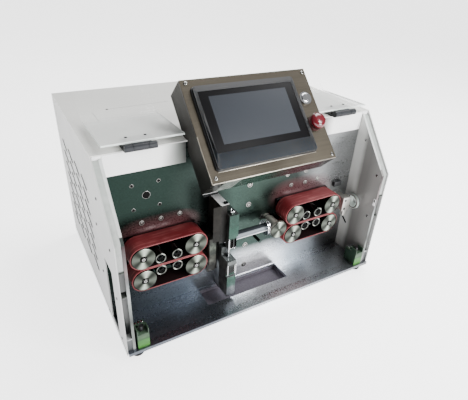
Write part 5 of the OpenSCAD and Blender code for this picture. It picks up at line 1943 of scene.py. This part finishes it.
    def column(self) -> None:
        """Adds the column's pale cap strips, a thin panel beside it, a dark line and a screw."""
        f = self.finishes
        top = Facing.TOP.at(0, 0, self.column_top)
        cap = slab(oblong(-89.7, 38.2, -73.3, 80.0, 1.0), 0.0, 0.6, 0.2)
        rear = slab(oblong(-103.0, 84.5, -73.3, 91.3, 0.6), 0.0, 2.4, 0.3)
        make("column_cap_strip", [top.put(cap), top.put(rear)], f.gloss, "cabinet")
        panel = slab(oblong(-105.3, 163.0, -88.4, 238.6, 0.6), -0.1, 0.5, 0.2)
        make("column_panel", Facing.FRONT.at(0, self.column_y, 0).put(panel), f.column_side_painted_shade,
             "cabinet")
        line = slab(oblong(-104.0, 79.6, -73.2, 84.9, 0.4), 0.0, 1.6, 0.1)
        make("column_cap_line", top.put(line), f.black, "cabinet")
        self.fasteners.scatter("column_cap_screw", self.fasteners.socket_screw(4.6, 3.2), top,
                               ((-78.0, 43.0),), "cabinet", f.dark_screw, "black_plastic")

    def build(self) -> None:
        """Builds the head."""
        self.nodes()
        self.faces()
        self.tools()
        self.conduit()
        self.column()


@dataclass
class OutletGuide:
    """Small polished bracket that leads the wire from the right belts to the wall's bush.

    Attributes:
        block: The block's left, low, right and high.
        depth: Its front and rear.
        plate_y: The mounting plate's front.
    """

    finishes: Finishes
    fasteners: Fasteners
    block: Four = (231.0, 132.0, 252.0, 166.0)
    depth: Tuple[float, float] = (52.0, 70.0)
    plate_y: float = 91.5

    def build(self) -> None:
        """Builds the block, its arm to the plate, its screws, the lever and the stop block."""
        f = self.finishes
        x0, z0, x1, z1 = self.block
        front, rear = self.depth
        face = Facing.FRONT.at(0, front, 0)
        body = slab(oblong(x0, z0, x1, z1, 1.5), front - rear, 0.0, 0.8)
        lug = slab(oblong(x1 - 13, z0 - 16, x1 - 2, z0 + 1, 3.0), front - rear + 6, -3.0, 0.6)
        arm = slab(oblong(x0 + 4, z1 - 10, x0 + 16, z1 - 1, 0.8), front - self.plate_y,
                   front - rear + 1, 0.4)
        make("outlet_bracket", [face.put(body), face.put(lug), face.put(arm)], f.bright,
             "cabinet")
        self.fasteners.scatter("outlet_bracket_screws", self.fasteners.socket_screw(2.6, 1.0),
                               face, ((x0 + 6, z1 - 7), (x0 + 6, z0 + 6)), "cabinet",
                               f.dark_screw, "black_plastic")
        lever = tube(np.array([(x1 - 6, 66, z0 - 14), (x1 - 6, 57, z0 - 22),
                               (x1 - 6, 46, z0 - 31)]), 1.7, 12)
        make("outlet_lever", lever, f.oxide, "cabinet")
        stop = Facing.FRONT.at(0, self.plate_y, 0).put(
            slab(oblong(226.0, 181.0, 246.0, 193.0, 1.0), 0.0, 8.0, 0.8))
        make("outlet_stop_block", stop, f.black, "cabinet")


@dataclass
class Corners:
    """Green switches in the front corners.

    Attributes:
        middle: Their distance from the machine's middle.
        top: Height of their top faces.
    """

    finishes: Finishes
    fasteners: Fasteners
    middle: float = 260.0
    top: float = 40.0

    def build(self) -> None:
        """Dresses the switches and their plungers, and adds the contacts behind them."""
        f = self.finishes
        for name, side in (("left", -1), ("right", 1)):
            x = side * self.middle
            clip = [Facing.TOP.at(0, 0, self.top).put(
                slab(oblong(x + k - 1.6, 25.0, x + k + 1.6, 31.0, 0.5), -0.5, 3.0, 0.4))
                for k in (-6.0, 0.0, 6.0)]
            make(name + "_switch_contacts", clip, f.chrome, "cabinet")
            self.fasteners.scatter(
                name + "_switch_holes", self.fasteners.set_in_hole(2.6, 0.8, 0.3),
                Facing.TOP.at(0, 0, self.top), ((x - 5, 21), (x + 5, 21)), "cabinet",
                f.painted_shade_green, "switch_green")
        # Lit and shaded copies of the green: painted light on the tops, painted shade elsewhere.
        eased("switch_bodies", f.painted_shade_green, 0.5, "cabinet",
              sides={Side.FRONT: f.green, Side.TOP: f.switch_top_painted_light})
        dress("left_plunger", f.black)
        dress("right_plunger", f.black)


def main() -> None:
    """Builds the scene."""
    logging.basicConfig(level=logging.INFO, format="%(name)s: %(message)s")
    Studio().build()
    finishes = Finishes()
    fasteners = Fasteners(finishes)
    Cabinet(finishes, fasteners).build()
    BayDetails(finishes, fasteners).build()
    Console(finishes, fasteners).build()
    for side in (-1, 1):
        Cover(side, finishes, fasteners).build()
    FeedUnit("left", LEFT_FEED_X, finishes, fasteners).build()
    FeedUnit("right", RIGHT_FEED_X, finishes, fasteners).build()
    BladeHead(finishes, fasteners).build()
    OutletGuide(finishes, fasteners).build()
    Corners(finishes, fasteners).build()
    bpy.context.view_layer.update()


if __name__ == "__main__":
    main()
